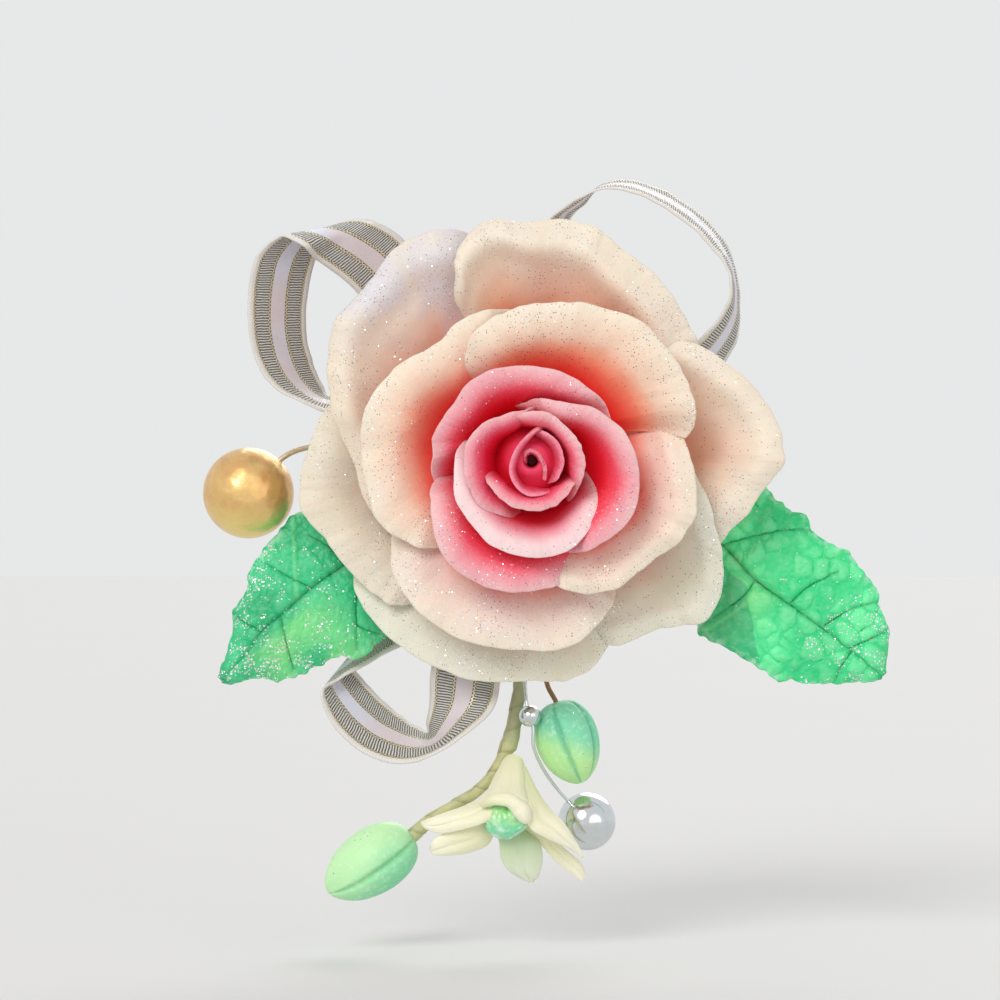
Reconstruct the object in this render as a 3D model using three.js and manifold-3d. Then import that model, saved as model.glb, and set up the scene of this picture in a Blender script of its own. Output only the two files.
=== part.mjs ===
// A handmade flower brooch: a clay rose with two leaves, three ribbon loops, a gold pearl and a
// hanging sprig with two buds and a small blossom, on a felt pad with a bar pin behind it.
// Lengths are millimetres. +Z is up, the flower faces -Y, and the origin is the middle of the
// felt pad's back face, on the rose's own axis. A height is measured forward from that face.
import * as THREE from "three";
import { mergeVertices } from "three/addons/utils/BufferGeometryUtils.js";
import Module from "manifold-3d";

const wasm = await Module();
wasm.setup();

// Rose
const ROSE_RADIUS = 39; // axis to the tips of the widest petals
const ROSE_HEIGHT = 30; // front of the base to just above the bud
const PETAL_THICKNESS = 0.9;
const CORE_RADIUS = 4.6;
const CORE_HEIGHT = 15;

// Backing
const PAD_RADIUS = 20;
const PAD_THICKNESS = 2;
const BASE_RADIUS = 17;
const BASE_HEIGHT = 7;
const SOCKET_DEPTH = 4; // how far stems, wires and ribbon ends go into the base

// Ribbon
const RIBBON_WIDTH = 11.5;
const RIBBON_THICKNESS = 0.4;

// Leaves
const LEFT_LEAF_LENGTH = 37.5;
const RIGHT_LEAF_LENGTH = 44;
const LEAF_THICKNESS = 1;
const LEAF_ARCH = 2; // rise of the midrib between root and tip
const LEAF_DROOP = 1.3; // fall of the margins below the midrib
const LEAF_WIRE_RADIUS = 0.5;

// Gold pearl
const GOLD_PEARL_RADIUS = 7.4;
const PEARL_WIRE_RADIUS = 0.45;

// Sprig
const STEM_RADIUS = 1.2;
const LEFT_BUD_LENGTH = 16.5;
const LEFT_BUD_RADIUS = 5.4;
const RIGHT_BUD_LENGTH = 13.9;
const RIGHT_BUD_RADIUS = 5.2;
const BUD_WIRE_RADIUS = 0.4;
const SILVER_WIRE_RADIUS = 0.28;
const SMALL_BEAD_RADIUS = 1.8;
const LARGE_BEAD_RADIUS = 4.75;
const BLOSSOM_TUBE_LENGTH = 9.7;
const BLOSSOM_THROAT_RADIUS = 4.4;
const BLOSSOM_PETAL_THICKNESS = 0.8;
const BLOSSOM_DROP_RADIUS = 2.7;
const BLOSSOM_DROP_LENGTH = 7;

// Bar pin
const BAR_LENGTH = 38;
const BAR_WIDTH = 5;
const BAR_THICKNESS = 0.8;
const BAR_RISE = 6.5; // middle of the bar above the rose's axis
const BAR_HOLE_RADIUS = 0.8;
const PIN_SPAN = 32; // hinge axis to the middle of the catch
const PIN_STAND = 5.5; // bar to the axis of the pin stem
const PIN_RADIUS = 0.5;
const PIN_OVERREACH = 3.4; // how far the point runs past the middle of the catch
const PIN_POINT_LENGTH = 3;
const KNUCKLE_RADIUS = 1.5;
const KNUCKLE_WIDTH = 2;
const RIVET_RADIUS = 0.55;
const RIVET_HEAD_RADIUS = 1.2;
const RIVET_HEAD_THICKNESS = 0.5;
const SHEET_METAL = 0.6; // ears, feet and flanges of the hinge and the catch
const CATCH_RADIUS = 2.9;
const CATCH_BORE_RADIUS = 2.2;
const CATCH_WIDTH = 2.6;
const CATCH_MOUTH = 2;
const COLLAR_RADIUS = 1.9;
const COLLAR_BORE_RADIUS = 0.95;
const COLLAR_MOUTH = 1.7;
const COLLAR_FLANGE_RADIUS = 2.6;
const LEVER_REACH = 4.4;
const LEVER_WIDTH = 1.6;

// Fits
const GAP = 0.3; // between curved pieces that touch on the real brooch
const OVERRUN = 1; // how far a cutting shape passes a face
const WELD = 0.001; // vertices closer than this are one
const DEGREE = Math.PI / 180;

const PETAL_BASE = PAD_THICKNESS + BASE_HEIGHT;
const ROOT_HEIGHT_SHARE = 0.45; // of the base's height, where stems and wires enter it
const FORWARD = new THREE.Vector3(0, -1, 0);
const LATHE_AXIS = new THREE.Vector3(0, 1, 0);

// Solids

function solidOf(geometry) {
  const bare = new THREE.BufferGeometry();
  bare.setAttribute("position", geometry.getAttribute("position"));
  bare.setIndex(geometry.index);
  const merged = mergeVertices(bare, WELD);
  return new wasm.Manifold(
    new wasm.Mesh({
      numProp: 3,
      vertProperties: merged.attributes.position.array,
      triVerts: new Uint32Array(merged.index.array),
    }),
  );
}

function geometryOf(solid) {
  const mesh = solid.getMesh();
  const geometry = new THREE.BufferGeometry();
  geometry.setAttribute("position", new THREE.BufferAttribute(mesh.vertProperties, 3));
  geometry.setIndex(new THREE.BufferAttribute(mesh.triVerts, 1));
  geometry.computeVertexNormals();
  return geometry;
}

function largestOf(solid) {
  const bodies = solid.decompose();
  return bodies.reduce((best, body) => (body.volume() > best.volume() ? body : best));
}

function without(solid, cutters) {
  return largestOf(cutters.reduce((rest, cutter) => rest.subtract(cutter), solid));
}

// Turns a lathed geometry, made along +Y from its own zero, to start at a place and run a way.
function aimed(geometry, start, way) {
  const turn = new THREE.Quaternion().setFromUnitVectors(LATHE_AXIS, way.clone().normalize());
  return geometry.applyQuaternion(turn).translate(start.x, start.y, start.z);
}

function lathed(profile, segments) {
  return new THREE.LatheGeometry(
    profile.map(([radius, height]) => new THREE.Vector2(radius, height)),
    segments,
  );
}

// Sheets

// Middle points of a sheet. Its border is pushed outward by the margin.
function sheetGrid(place, across, along, margin) {
  const rows = [];
  for (let j = 0; j <= along; j += 1) {
    const row = [];
    for (let i = 0; i <= across; i += 1) row.push(place(i / across, j / along));
    rows.push(row);
  }
  if (margin > 0) pushBorder(rows, margin);
  return rows;
}

function pushFrom(point, inner, margin) {
  point.addScaledVector(point.clone().sub(inner).normalize(), margin);
}

function pushBorder(rows, margin) {
  const last = rows.length - 1;
  rows[0].forEach((point, i) => pushFrom(point, rows[1][i], margin));
  rows[last].forEach((point, i) => pushFrom(point, rows[last - 1][i], margin));
  for (const row of rows) {
    pushFrom(row[0], row[1], margin);
    pushFrom(row[row.length - 1], row[row.length - 2], margin);
  }
}

function sheetNormal(rows, i, j) {
  const row = rows[j];
  const acrossWay = row[Math.min(i + 1, row.length - 1)].clone().sub(row[Math.max(i - 1, 0)]);
  const ahead = rows[Math.min(j + 1, rows.length - 1)][i];
  const alongWay = ahead.clone().sub(rows[Math.max(j - 1, 0)][i]);
  return acrossWay.cross(alongWay).normalize();
}

// The four corners of each cell, and of each wall between the two faces round the border. A cell
// is split from its first corner, the same one on both faces, so a twisted sheet stays even.
function sheetQuads(across, along) {
  const columns = across + 1;
  const back = columns * (along + 1);
  const at = (i, j) => j * columns + i;
  const quads = [];
  for (let j = 0; j < along; j += 1) {
    for (let i = 0; i < across; i += 1) {
      const [a, b, c, d] = [at(i, j), at(i + 1, j), at(i + 1, j + 1), at(i, j + 1)];
      quads.push([a, b, c, d], [back + a, back + d, back + c, back + b]);
    }
  }
  for (let i = 0; i < across; i += 1) {
    quads.push([at(i + 1, 0), at(i, 0), back + at(i, 0), back + at(i + 1, 0)]);
    quads.push([at(i, along), at(i + 1, along), back + at(i + 1, along), back + at(i, along)]);
  }
  for (let j = 0; j < along; j += 1) {
    quads.push([at(0, j), at(0, j + 1), back + at(0, j + 1), back + at(0, j)]);
    quads.push([at(across, j + 1), at(across, j), back + at(across, j), back + at(across, j + 1)]);
  }
  return quads;
}

// A closed sheet of even thickness about the surface place(across, along), both from 0 to 1.
function sheet(place, thickness, across, along, margin = 0) {
  const rows = sheetGrid(place, across, along, margin);
  const half = thickness / 2 + margin;
  const points = [];
  for (const side of [1, -1]) {
    rows.forEach((row, j) =>
      row.forEach((point, i) => {
        points.push(...point.clone().addScaledVector(sheetNormal(rows, i, j), side * half));
      }),
    );
  }
  const faces = sheetQuads(across, along).flatMap(([a, b, c, d]) => [a, b, c, a, c, d]);
  const geometry = new THREE.BufferGeometry();
  geometry.setAttribute("position", new THREE.Float32BufferAttribute(points, 3));
  geometry.setIndex(faces);
  const solid = solidOf(geometry);
  if (solid.volume() > 0) return solid;
  geometry.setIndex(faces.reverse());
  return solidOf(geometry);
}

// Wires and stems

function wire(route, radius, sides, steps) {
  const section = new THREE.Shape();
  section.absarc(0, 0, radius, 0, 2 * Math.PI);
  const extrudePath = new THREE.CatmullRomCurve3(route);
  return solidOf(
    new THREE.ExtrudeGeometry(section, {
      extrudePath,
      steps,
      curveSegments: sides / 2,
      bevelEnabled: false,
    }),
  );
}

// Places

function aroundAxis(angle, radius, height) {
  return new THREE.Vector3(radius * Math.cos(angle), -height, radius * Math.sin(angle));
}

// A place given in shares: right and up of the rose's radius, forward of its height.
function spot([rightShare, upShare, forwardShare]) {
  return new THREE.Vector3(
    rightShare * ROSE_RADIUS,
    -(PETAL_BASE + forwardShare * ROSE_HEIGHT),
    upShare * ROSE_RADIUS,
  );
}

// Where something enters the base's side wall, and its end inside the base.
function baseRoot(degrees, heightShare = ROOT_HEIGHT_SHARE) {
  const angle = degrees * DEGREE;
  const height = PAD_THICKNESS + heightShare * BASE_HEIGHT;
  return [
    aroundAxis(angle, BASE_RADIUS - SOCKET_DEPTH, height),
    aroundAxis(angle, BASE_RADIUS + GAP, height),
  ];
}

// Petals

// Rim points of each petal: degrees round the axis, then shares of the rose's radius and height.
const RIM_SHARES = {
  petal_inner_1: [
    [136, 0.183, 0.9], [104, 0.193, 0.97], [65, 0.197, 0.98], [32, 0.193, 0.98],
    [5, 0.209, 0.98], [-22, 0.215, 0.95], [-53, 0.235, 0.87],
  ],
  petal_inner_2: [
    [71, 0.246, 0.87], [92, 0.207, 0.92], [113, 0.203, 0.94], [140, 0.237, 0.96],
    [165, 0.268, 0.97], [-164, 0.271, 0.96], [-138, 0.275, 0.93], [-112, 0.251, 0.87],
    [-94, 0.241, 0.82],
  ],
  petal_inner_3: [
    [178, 0.195, 0.83], [-154, 0.199, 0.92], [-125, 0.2, 0.96], [-96, 0.203, 0.97],
    [-62, 0.208, 0.96], [-30, 0.195, 0.9], [-3, 0.166, 0.8],
  ],
  petal_pink_1: [
    [109, 0.272, 0.8], [93, 0.252, 0.87], [74, 0.247, 0.91], [55, 0.276, 0.93],
    [38, 0.329, 0.94], [18, 0.382, 0.94], [-3, 0.427, 0.93], [-21, 0.456, 0.93],
    [-35, 0.453, 0.91], [-54, 0.432, 0.88], [-67, 0.417, 0.84], [-78, 0.401, 0.78],
  ],
  petal_pink_2: [
    [154, 0.294, 0.78], [167, 0.299, 0.85], [-172, 0.314, 0.9], [-150, 0.343, 0.93],
    [-129, 0.363, 0.93], [-107, 0.381, 0.93], [-84, 0.393, 0.92], [-65, 0.39, 0.9],
    [-45, 0.36, 0.83], [-24, 0.318, 0.73],
  ],
  petal_pink_3: [
    [-155, 0.426, 0.67], [-172, 0.42, 0.76], [177, 0.402, 0.82], [168, 0.413, 0.85],
    [159, 0.404, 0.88], [146, 0.388, 0.89], [130, 0.4, 0.9], [112, 0.393, 0.9],
    [90, 0.376, 0.9], [68, 0.372, 0.89], [47, 0.368, 0.87], [32, 0.378, 0.82],
    [8, 0.409, 0.7],
  ],
  petal_pink_4: [
    [-176, 0.342, 0.63], [-167, 0.412, 0.77], [-156, 0.446, 0.83], [-144, 0.483, 0.86],
    [-131, 0.525, 0.87], [-114, 0.543, 0.87], [-97, 0.532, 0.87], [-80, 0.527, 0.84],
    [-68, 0.519, 0.77], [-58, 0.504, 0.7],
  ],
  petal_middle_1: [
    [109, 0.561, 0.57], [104, 0.585, 0.65], [97, 0.608, 0.73], [87, 0.629, 0.77],
    [76, 0.655, 0.77], [64, 0.682, 0.77], [52, 0.704, 0.77], [38, 0.706, 0.77],
    [27, 0.705, 0.76], [19, 0.695, 0.74], [13, 0.65, 0.7], [8, 0.59, 0.6],
  ],
  petal_middle_2: [
    [90, 0.582, 0.5], [97, 0.618, 0.6], [107, 0.642, 0.71], [118, 0.637, 0.73],
    [131, 0.616, 0.73], [143, 0.655, 0.73], [155, 0.694, 0.73], [168, 0.702, 0.72],
    [-177, 0.689, 0.69], [-160, 0.67, 0.67], [-149, 0.625, 0.67], [-141, 0.569, 0.67],
    [-133, 0.47, 0.58],
  ],
  petal_middle_3: [
    [26, 0.59, 0.53], [18, 0.62, 0.64], [4, 0.649, 0.71], [-6, 0.685, 0.73],
    [-14, 0.745, 0.73], [-23, 0.837, 0.72], [-29, 0.763, 0.71], [-37, 0.691, 0.71],
    [-52, 0.65, 0.71], [-66, 0.594, 0.74], [-77, 0.527, 0.77], [-82, 0.475, 0.73],
  ],
  petal_middle_4: [
    [-155, 0.574, 0.4], [-151, 0.645, 0.49], [-143, 0.71, 0.57], [-132, 0.75, 0.59],
    [-116, 0.769, 0.6], [-96, 0.771, 0.6], [-78, 0.765, 0.58], [-69, 0.73, 0.54],
    [-60, 0.664, 0.48], [-54, 0.604, 0.4],
  ],
  petal_outer_1: [
    [55, 0.703, 0.3], [48, 0.72, 0.38], [41, 0.765, 0.45], [34, 0.837, 0.48],
    [25, 0.904, 0.49], [15, 0.98, 0.49], [6, 1.032, 0.48], [-1, 1.03, 0.47],
    [-6, 0.968, 0.44], [-14, 0.905, 0.42], [-21, 0.86, 0.38], [-27, 0.833, 0.32],
  ],
  petal_outer_2: [
    [113, 0.631, 0.33], [115, 0.726, 0.43], [112, 0.827, 0.51], [110, 0.9, 0.53],
    [105, 0.968, 0.53], [99, 0.997, 0.53], [91, 0.963, 0.54], [81, 0.988, 0.53],
    [74, 0.98, 0.53], [66, 0.93, 0.52], [57, 0.91, 0.5], [45, 0.873, 0.48],
    [38, 0.842, 0.46], [28, 0.794, 0.3],
  ],
  petal_outer_3: [
    [99, 0.901, 0.23], [106, 0.98, 0.36], [114, 1.032, 0.42], [121, 1.038, 0.43],
    [130, 0.995, 0.43], [141, 0.986, 0.43], [149, 0.96, 0.43], [158, 0.895, 0.43],
    [168, 0.825, 0.43], [180, 0.73, 0.43], [-167, 0.694, 0.42], [-155, 0.666, 0.39],
    [-144, 0.63, 0.27],
  ],
  petal_outer_4: [
    [156, 0.814, 0.17], [162, 0.848, 0.26], [172, 0.898, 0.3], [-179, 0.936, 0.3],
    [-170, 0.975, 0.3], [-163, 0.93, 0.3], [-154, 0.883, 0.3], [-143, 0.867, 0.32],
    [-135, 0.823, 0.33], [-130, 0.77, 0.32], [-126, 0.701, 0.27],
  ],
  petal_outer_5: [
    [-151, 0.855, 0.1], [-144, 0.892, 0.19], [-134, 0.924, 0.23], [-120, 0.933, 0.25],
    [-105, 0.932, 0.27], [-92, 0.907, 0.27], [-84, 0.92, 0.27], [-76, 0.9, 0.27],
    [-69, 0.838, 0.27], [-62, 0.777, 0.24], [-54, 0.682, 0.15],
  ],
  petal_outer_6: [
    [-13, 0.832, 0.17], [-20, 0.852, 0.27], [-28, 0.896, 0.31], [-36, 0.962, 0.31],
    [-43, 0.972, 0.3], [-48, 0.92, 0.28], [-56, 0.865, 0.27], [-65, 0.839, 0.25],
    [-70, 0.775, 0.21], [-72, 0.725, 0.17],
  ],
  bud_roll: [
    [-150, 0.03, 0.84], [150, 0.038, 0.89], [100, 0.04, 0.91], [50, 0.036, 0.91],
    [0, 0.04, 0.91], [-30, 0.06, 0.9], [-59, 0.095, 0.87],
  ],
  bud_wrap_left: [
    [60, 0.15, 0.87], [75, 0.135, 0.92], [110, 0.09, 0.94], [150, 0.078, 0.94],
    [-147, 0.104, 0.94], [-101, 0.142, 0.94], [-65, 0.152, 0.91], [-42, 0.16, 0.85],
  ],
  bud_wrap_right: [
    [95, 0.11, 0.85], [70, 0.125, 0.91], [35, 0.125, 0.94], [0, 0.128, 0.95],
    [-35, 0.13, 0.93], [-60, 0.115, 0.86],
  ],
};

// Walls of each ring in shares of the rose's radius and height: the foot, how far out and up the
// wall heads from it, and how far the lip rolls outward and crests above the rim.
const RING_SHARES = {
  bud_roll: { foot: [0.03, 0.6], out: 0.5, up: 0.3, lip: 0.003, crest: 0.004 },
  bud_wrap: { foot: [0.06, 0.52], out: 0.7, up: 0.3, lip: 0.01, crest: 0.01 },
  petal_inner: { foot: [0.13, 0.16], out: 1.05, up: 0.35, lip: 0.03, crest: 0.03 },
  petal_pink: { foot: [0.18, 0.12], out: 0.55, up: 0.2, lip: 0.09, crest: 0.04 },
  petal_middle: { foot: [0.25, 0.08], out: 0.3, up: 0.14, lip: 0.16, crest: 0.07 },
  petal_outer: { foot: [0.33, 0.045], out: 0.32, up: 0.06, lip: 0.22, crest: 0.09 },
};

const FOOT_SPREAD_SHARE = 0.75; // of a rim's sweep round the axis that its foot keeps

function cubic(t, a, b, c, d) {
  const s = 1 - t;
  return s * s * s * a + 3 * s * s * t * b + 3 * s * t * t * c + t * t * t * d;
}

function halfTurn(angle) {
  return Math.atan2(Math.sin(angle), Math.cos(angle));
}

function ringOf(name) {
  return RING_SHARES[Object.keys(RING_SHARES).find((ring) => name.startsWith(ring))];
}

function rimCurve(rim) {
  return new THREE.CatmullRomCurve3(
    rim.map(([degrees, radiusShare, heightShare]) =>
      aroundAxis(
        degrees * DEGREE,
        radiusShare * ROSE_RADIUS,
        PETAL_BASE + heightShare * ROSE_HEIGHT,
      ),
    ),
  );
}

// The petal's middle surface: across runs along the rim, along runs from the foot to the rim.
function petalSurface(name) {
  const { foot, out, up, lip, crest } = ringOf(name);
  const rim = rimCurve(RIM_SHARES[name]);
  const footRadius = foot[0] * ROSE_RADIUS;
  const footHeight = PETAL_BASE + foot[1] * ROSE_HEIGHT;
  const middle = rim.getPoint(0.5);
  const middleAngle = Math.atan2(middle.z, middle.x);
  return (across, along) => {
    const edge = rim.getPoint(across);
    const radius = Math.hypot(edge.x, edge.z);
    const height = -edge.y;
    const sweep = halfTurn(Math.atan2(edge.z, edge.x) - middleAngle);
    const turn = FOOT_SPREAD_SHARE + (1 - FOOT_SPREAD_SHARE) * along;
    return aroundAxis(
      middleAngle + sweep * turn,
      cubic(
        along,
        footRadius,
        footRadius + (radius - footRadius) * out,
        radius - lip * ROSE_RADIUS,
        radius,
      ),
      cubic(
        along,
        footHeight,
        footHeight + (height - footHeight) * up,
        height + crest * ROSE_HEIGHT,
        height,
      ),
    );
  };
}

// Petals from the bud outward. Each is trimmed by those before it, which lie in front of it.
const PETAL_ORDER = [
  "bud_roll", "bud_wrap_left", "bud_wrap_right",
  "petal_inner_1", "petal_inner_3", "petal_inner_2",
  "petal_pink_1", "petal_pink_2", "petal_pink_3", "petal_pink_4",
  "petal_middle_1", "petal_middle_2", "petal_middle_3", "petal_middle_4",
  "petal_outer_1", "petal_outer_2", "petal_outer_3", "petal_outer_4", "petal_outer_5",
  "petal_outer_6",
];

const PETAL_CELLS = { across: 11, along: 5 };

function petalSolids(inTheWay) {
  const cutters = [...inTheWay];
  return PETAL_ORDER.map((name) => {
    const place = petalSurface(name);
    const { across, along } = PETAL_CELLS;
    const whole = sheet(place, PETAL_THICKNESS, across, along);
    const solid = without(whole, cutters);
    cutters.push(sheet(place, PETAL_THICKNESS, across, along, GAP));
    return [name, solid];
  });
}

// Core, base and pad

const CORE_SHARES = [
  [0, 0], [1, 0], [1.08, 0.2], [1, 0.45], [0.75, 0.75], [0.35, 0.95], [0, 1],
];

function coreSolid(margin = 0) {
  const profile = CORE_SHARES.map(([radiusShare, heightShare]) => [
    radiusShare * (CORE_RADIUS + margin),
    heightShare * (CORE_HEIGHT + margin),
  ]);
  return solidOf(aimed(lathed(profile, 20), aroundAxis(0, 0, PETAL_BASE), FORWARD));
}

const BASE_EDGE = 1.5; // bevel round the front of the base

function baseBlank(margin = 0) {
  const radius = BASE_RADIUS + margin;
  const height = BASE_HEIGHT + margin;
  const profile = [
    [0, 0],
    [radius, 0],
    [radius, height - BASE_EDGE],
    [radius - BASE_EDGE, height],
    [0, height],
  ];
  return solidOf(aimed(lathed(profile, 40), aroundAxis(0, 0, PAD_THICKNESS), FORWARD));
}

const PAD_EDGE = 0.5;

function padSolid() {
  const profile = [
    [0, 0],
    [PAD_RADIUS, 0],
    [PAD_RADIUS, PAD_THICKNESS - PAD_EDGE],
    [PAD_RADIUS - PAD_EDGE, PAD_THICKNESS],
    [0, PAD_THICKNESS],
  ];
  return solidOf(aimed(lathed(profile, 40), aroundAxis(0, 0, 0), FORWARD));
}

// Ribbon loops

// Each loop: where its two ends enter the base, then pairs of points on its two edges, from the
// first end to the last. The pairs give its middle and the way it lies; its width is its own.
const RIBBON_LOOPS = {
  ribbon_loop_upper_left: {
    ends: [135, 158],
    edgeShares: [
      [[-0.59, 0.48, -0.08], [-0.37, 0.69, -0.08]],
      [[-0.74, 0.71, 0.02], [-0.52, 0.93, 0]],
      [[-0.87, 0.84, 0.15], [-0.66, 0.99, 0.09]],
      [[-0.93, 0.89, 0.29], [-0.75, 1, 0.06]],
      [[-1.02, 0.93, 0.25], [-0.82, 0.98, -0.01]],
      [[-1.08, 0.9, 0.2], [-0.87, 0.92, -0.03]],
      [[-1.14, 0.83, 0.15], [-0.91, 0.84, -0.06]],
      [[-1.17, 0.7, 0.09], [-0.94, 0.7, -0.14]],
      [[-1.17, 0.55, 0.05], [-0.95, 0.56, -0.19]],
      [[-1.14, 0.42, 0.02], [-0.93, 0.44, -0.23]],
      [[-1.06, 0.31, 0.03], [-0.89, 0.34, -0.26]],
      [[-0.88, 0.22, 0.08], [-0.84, 0.28, -0.27]],
      [[-0.65, 0.18, -0.01], [-0.6, 0.4, -0.25]],
    ],
  },
  ribbon_loop_upper_right: {
    ends: [80, 28],
    edgeShares: [
      [[-0.04, 0.68, -0.03], [0.23, 0.68, -0.14]],
      [[0.08, 1, 0.13], [0.16, 1.02, -0.2]],
      [[0.18, 1.08, 0.17], [0.23, 1.09, -0.2]],
      [[0.29, 1.13, 0.17], [0.29, 1.16, -0.2]],
      [[0.41, 1.12, 0.17], [0.4, 1.19, -0.2]],
      [[0.54, 1.06, 0.17], [0.55, 1.15, -0.2]],
      [[0.66, 0.98, 0.17], [0.7, 1.06, -0.2]],
      [[0.74, 0.9, 0.17], [0.8, 0.96, -0.2]],
      [[0.81, 0.81, 0.17], [0.86, 0.83, -0.2]],
      [[0.83, 0.73, 0.17], [0.88, 0.7, -0.2]],
      [[0.81, 0.64, 0.15], [0.88, 0.57, -0.2]],
      [[0.7, 0.5, 0.12], [0.83, 0.44, -0.2]],
      [[0.53, 0.44, -0.03], [0.68, 0.24, -0.17]],
    ],
  },
  ribbon_loop_lower_left: {
    ends: [-120, -132],
    edgeShares: [
      [[-0.09, -0.7, -0.02], [-0.38, -0.63, -0.02]],
      [[-0.12, -0.92, 0.02], [-0.42, -0.86, 0.02]],
      [[-0.16, -1.03, 0.1], [-0.42, -1, -0.07]],
      [[-0.26, -1.12, 0.17], [-0.43, -1.09, -0.13]],
      [[-0.38, -1.2, 0.18], [-0.43, -1.14, -0.17]],
      [[-0.47, -1.24, 0.13], [-0.48, -1.12, -0.19]],
      [[-0.56, -1.25, 0.1], [-0.55, -1.07, -0.19]],
      [[-0.67, -1.22, 0.08], [-0.61, -1.02, -0.17]],
      [[-0.77, -1.15, 0.08], [-0.68, -0.95, -0.16]],
      [[-0.84, -1.05, 0.08], [-0.74, -0.89, -0.18]],
      [[-0.87, -0.96, 0.1], [-0.78, -0.85, -0.23]],
      [[-0.8, -0.91, 0.02], [-0.7, -0.76, -0.27]],
      [[-0.62, -0.8, -0.05], [-0.55, -0.6, -0.25]],
      [[-0.36, -0.62, -0.12], [-0.52, -0.43, -0.24]],
    ],
  },
};

const RIBBON_FRONT_SHARE = 0.75; // of the base's height, where a loop's first end enters it
const RIBBON_BACK_SHARE = 0.25; // and its last
const RIBBON_CELLS = { across: 3, along: 36 };

// The way from one edge of a ribbon to the other where it enters the base.
function rootWay(degrees) {
  const angle = degrees * DEGREE;
  return new THREE.Vector3(Math.sin(angle), 0, -Math.cos(angle));
}

function ribbonSurface({ ends, edgeShares }) {
  const [innerStart, wallStart] = baseRoot(ends[0], RIBBON_FRONT_SHARE);
  const [innerEnd, wallEnd] = baseRoot(ends[1], RIBBON_BACK_SHARE);
  const edges = edgeShares.map((pair) => pair.map(spot));
  const middles = edges.map(([first, second]) => first.clone().lerp(second, 0.5));
  const between = edges.map(([first, second]) => second.clone().sub(first).normalize());
  const [startWay, endWay] = ends.map(rootWay);
  const route = new THREE.CatmullRomCurve3([innerStart, wallStart, ...middles, wallEnd, innerEnd]);
  const ways = new THREE.CatmullRomCurve3([startWay, startWay, ...between, endWay, endWay]);
  return (across, along) => {
    const way = ways.getPoint(along).normalize();
    return route.getPoint(along).addScaledVector(way, (across - 0.5) * RIBBON_WIDTH);
  };
}

function ribbonSolid(loop, margin = 0) {
  const { across, along } = RIBBON_CELLS;
  return sheet(ribbonSurface(loop), RIBBON_THICKNESS, across, along, margin);
}

// Leaves

// Margins of each leaf: places along the midrib, then how far out the margin lies, both in
// shares of the leaf's length.
const LEAVES = {
  leaf_left: {
    length: LEFT_LEAF_LENGTH,
    rootAngle: -161,
    rootShares: [-0.568, -0.278, -0.01],
    tipShares: [-1.303, -0.919, 0.13],
    leftShares: [
      [0, 0.03], [0.12, 0.18], [0.26, 0.335], [0.3, 0.345], [0.35, 0.326], [0.46, 0.334],
      [0.51, 0.309], [0.54, 0.259], [0.61, 0.238], [0.72, 0.216], [0.77, 0.192],
      [0.82, 0.167], [0.86, 0.105], [0.93, 0.06], [0.98, 0.035], [1, 0.01],
    ],
    rightShares: [
      [0, 0.03], [0.12, 0.12], [0.25, 0.23], [0.35, 0.317], [0.44, 0.308], [0.49, 0.303],
      [0.56, 0.283], [0.62, 0.254], [0.65, 0.211], [0.7, 0.206], [0.76, 0.189],
      [0.83, 0.115], [0.92, 0.055], [1, 0.01],
    ],
  },
  leaf_right: {
    length: RIGHT_LEAF_LENGTH,
    rootAngle: -17,
    rootShares: [0.595, -0.181, -0.05],
    tipShares: [1.483, -0.902, 0.03],
    leftShares: [
      [0, 0.03], [0.08, 0.14], [0.15, 0.22], [0.22, 0.27], [0.27, 0.258], [0.36, 0.261],
      [0.41, 0.28], [0.46, 0.251], [0.54, 0.255], [0.62, 0.276], [0.68, 0.249],
      [0.78, 0.238], [0.84, 0.187], [0.91, 0.149], [0.95, 0.091], [1, 0.015],
    ],
    rightShares: [
      [0, 0.03], [0.1, 0.15], [0.2, 0.23], [0.35, 0.293], [0.38, 0.311], [0.44, 0.3],
      [0.52, 0.28], [0.64, 0.266], [0.72, 0.265], [0.74, 0.222], [0.81, 0.197],
      [0.88, 0.137], [0.95, 0.072], [0.98, 0.042], [1, 0.015],
    ],
  },
};

const LEAF_CELLS = { across: 4, along: 20 };

// The value of a table of [place, value] rows at any place between its ends.
function tableAt(rows, place) {
  const next = Math.max(1, rows.findIndex((row) => row[0] >= place));
  const [start, startValue] = rows[next - 1];
  const [end, endValue] = rows[next];
  return startValue + ((endValue - startValue) * (place - start)) / (end - start);
}

function leafSurface({ length, rootShares, tipShares, leftShares, rightShares }) {
  const root = spot(rootShares);
  const midrib = spot(tipShares).sub(root).setLength(length);
  const side = midrib.clone().cross(FORWARD).normalize();
  return (across, along) => {
    const share = across * 2 - 1;
    const margin = share < 0 ? tableAt(leftShares, along) : tableAt(rightShares, along);
    const rise = LEAF_ARCH * Math.sin(Math.PI * along) - LEAF_DROOP * share * share;
    return root
      .clone()
      .addScaledVector(midrib, along)
      .addScaledVector(side, share * margin * length)
      .addScaledVector(FORWARD, rise);
  };
}

function leafSolid(leaf) {
  return sheet(leafSurface(leaf), LEAF_THICKNESS, LEAF_CELLS.across, LEAF_CELLS.along);
}

const LEAF_WIRE_PLACE_SHARES = [0.02, 0.12, 0.25, 0.4];

// The wire leaves the base and lies along the back of the midrib.
function leafWireRoute(leaf) {
  const place = leafSurface(leaf);
  const behind = LEAF_THICKNESS / 2 + GAP + LEAF_WIRE_RADIUS;
  const along = LEAF_WIRE_PLACE_SHARES.map((share) =>
    place(0.5, share).addScaledVector(FORWARD, -behind),
  );
  return [...baseRoot(leaf.rootAngle), ...along];
}

// Gold pearl

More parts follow.
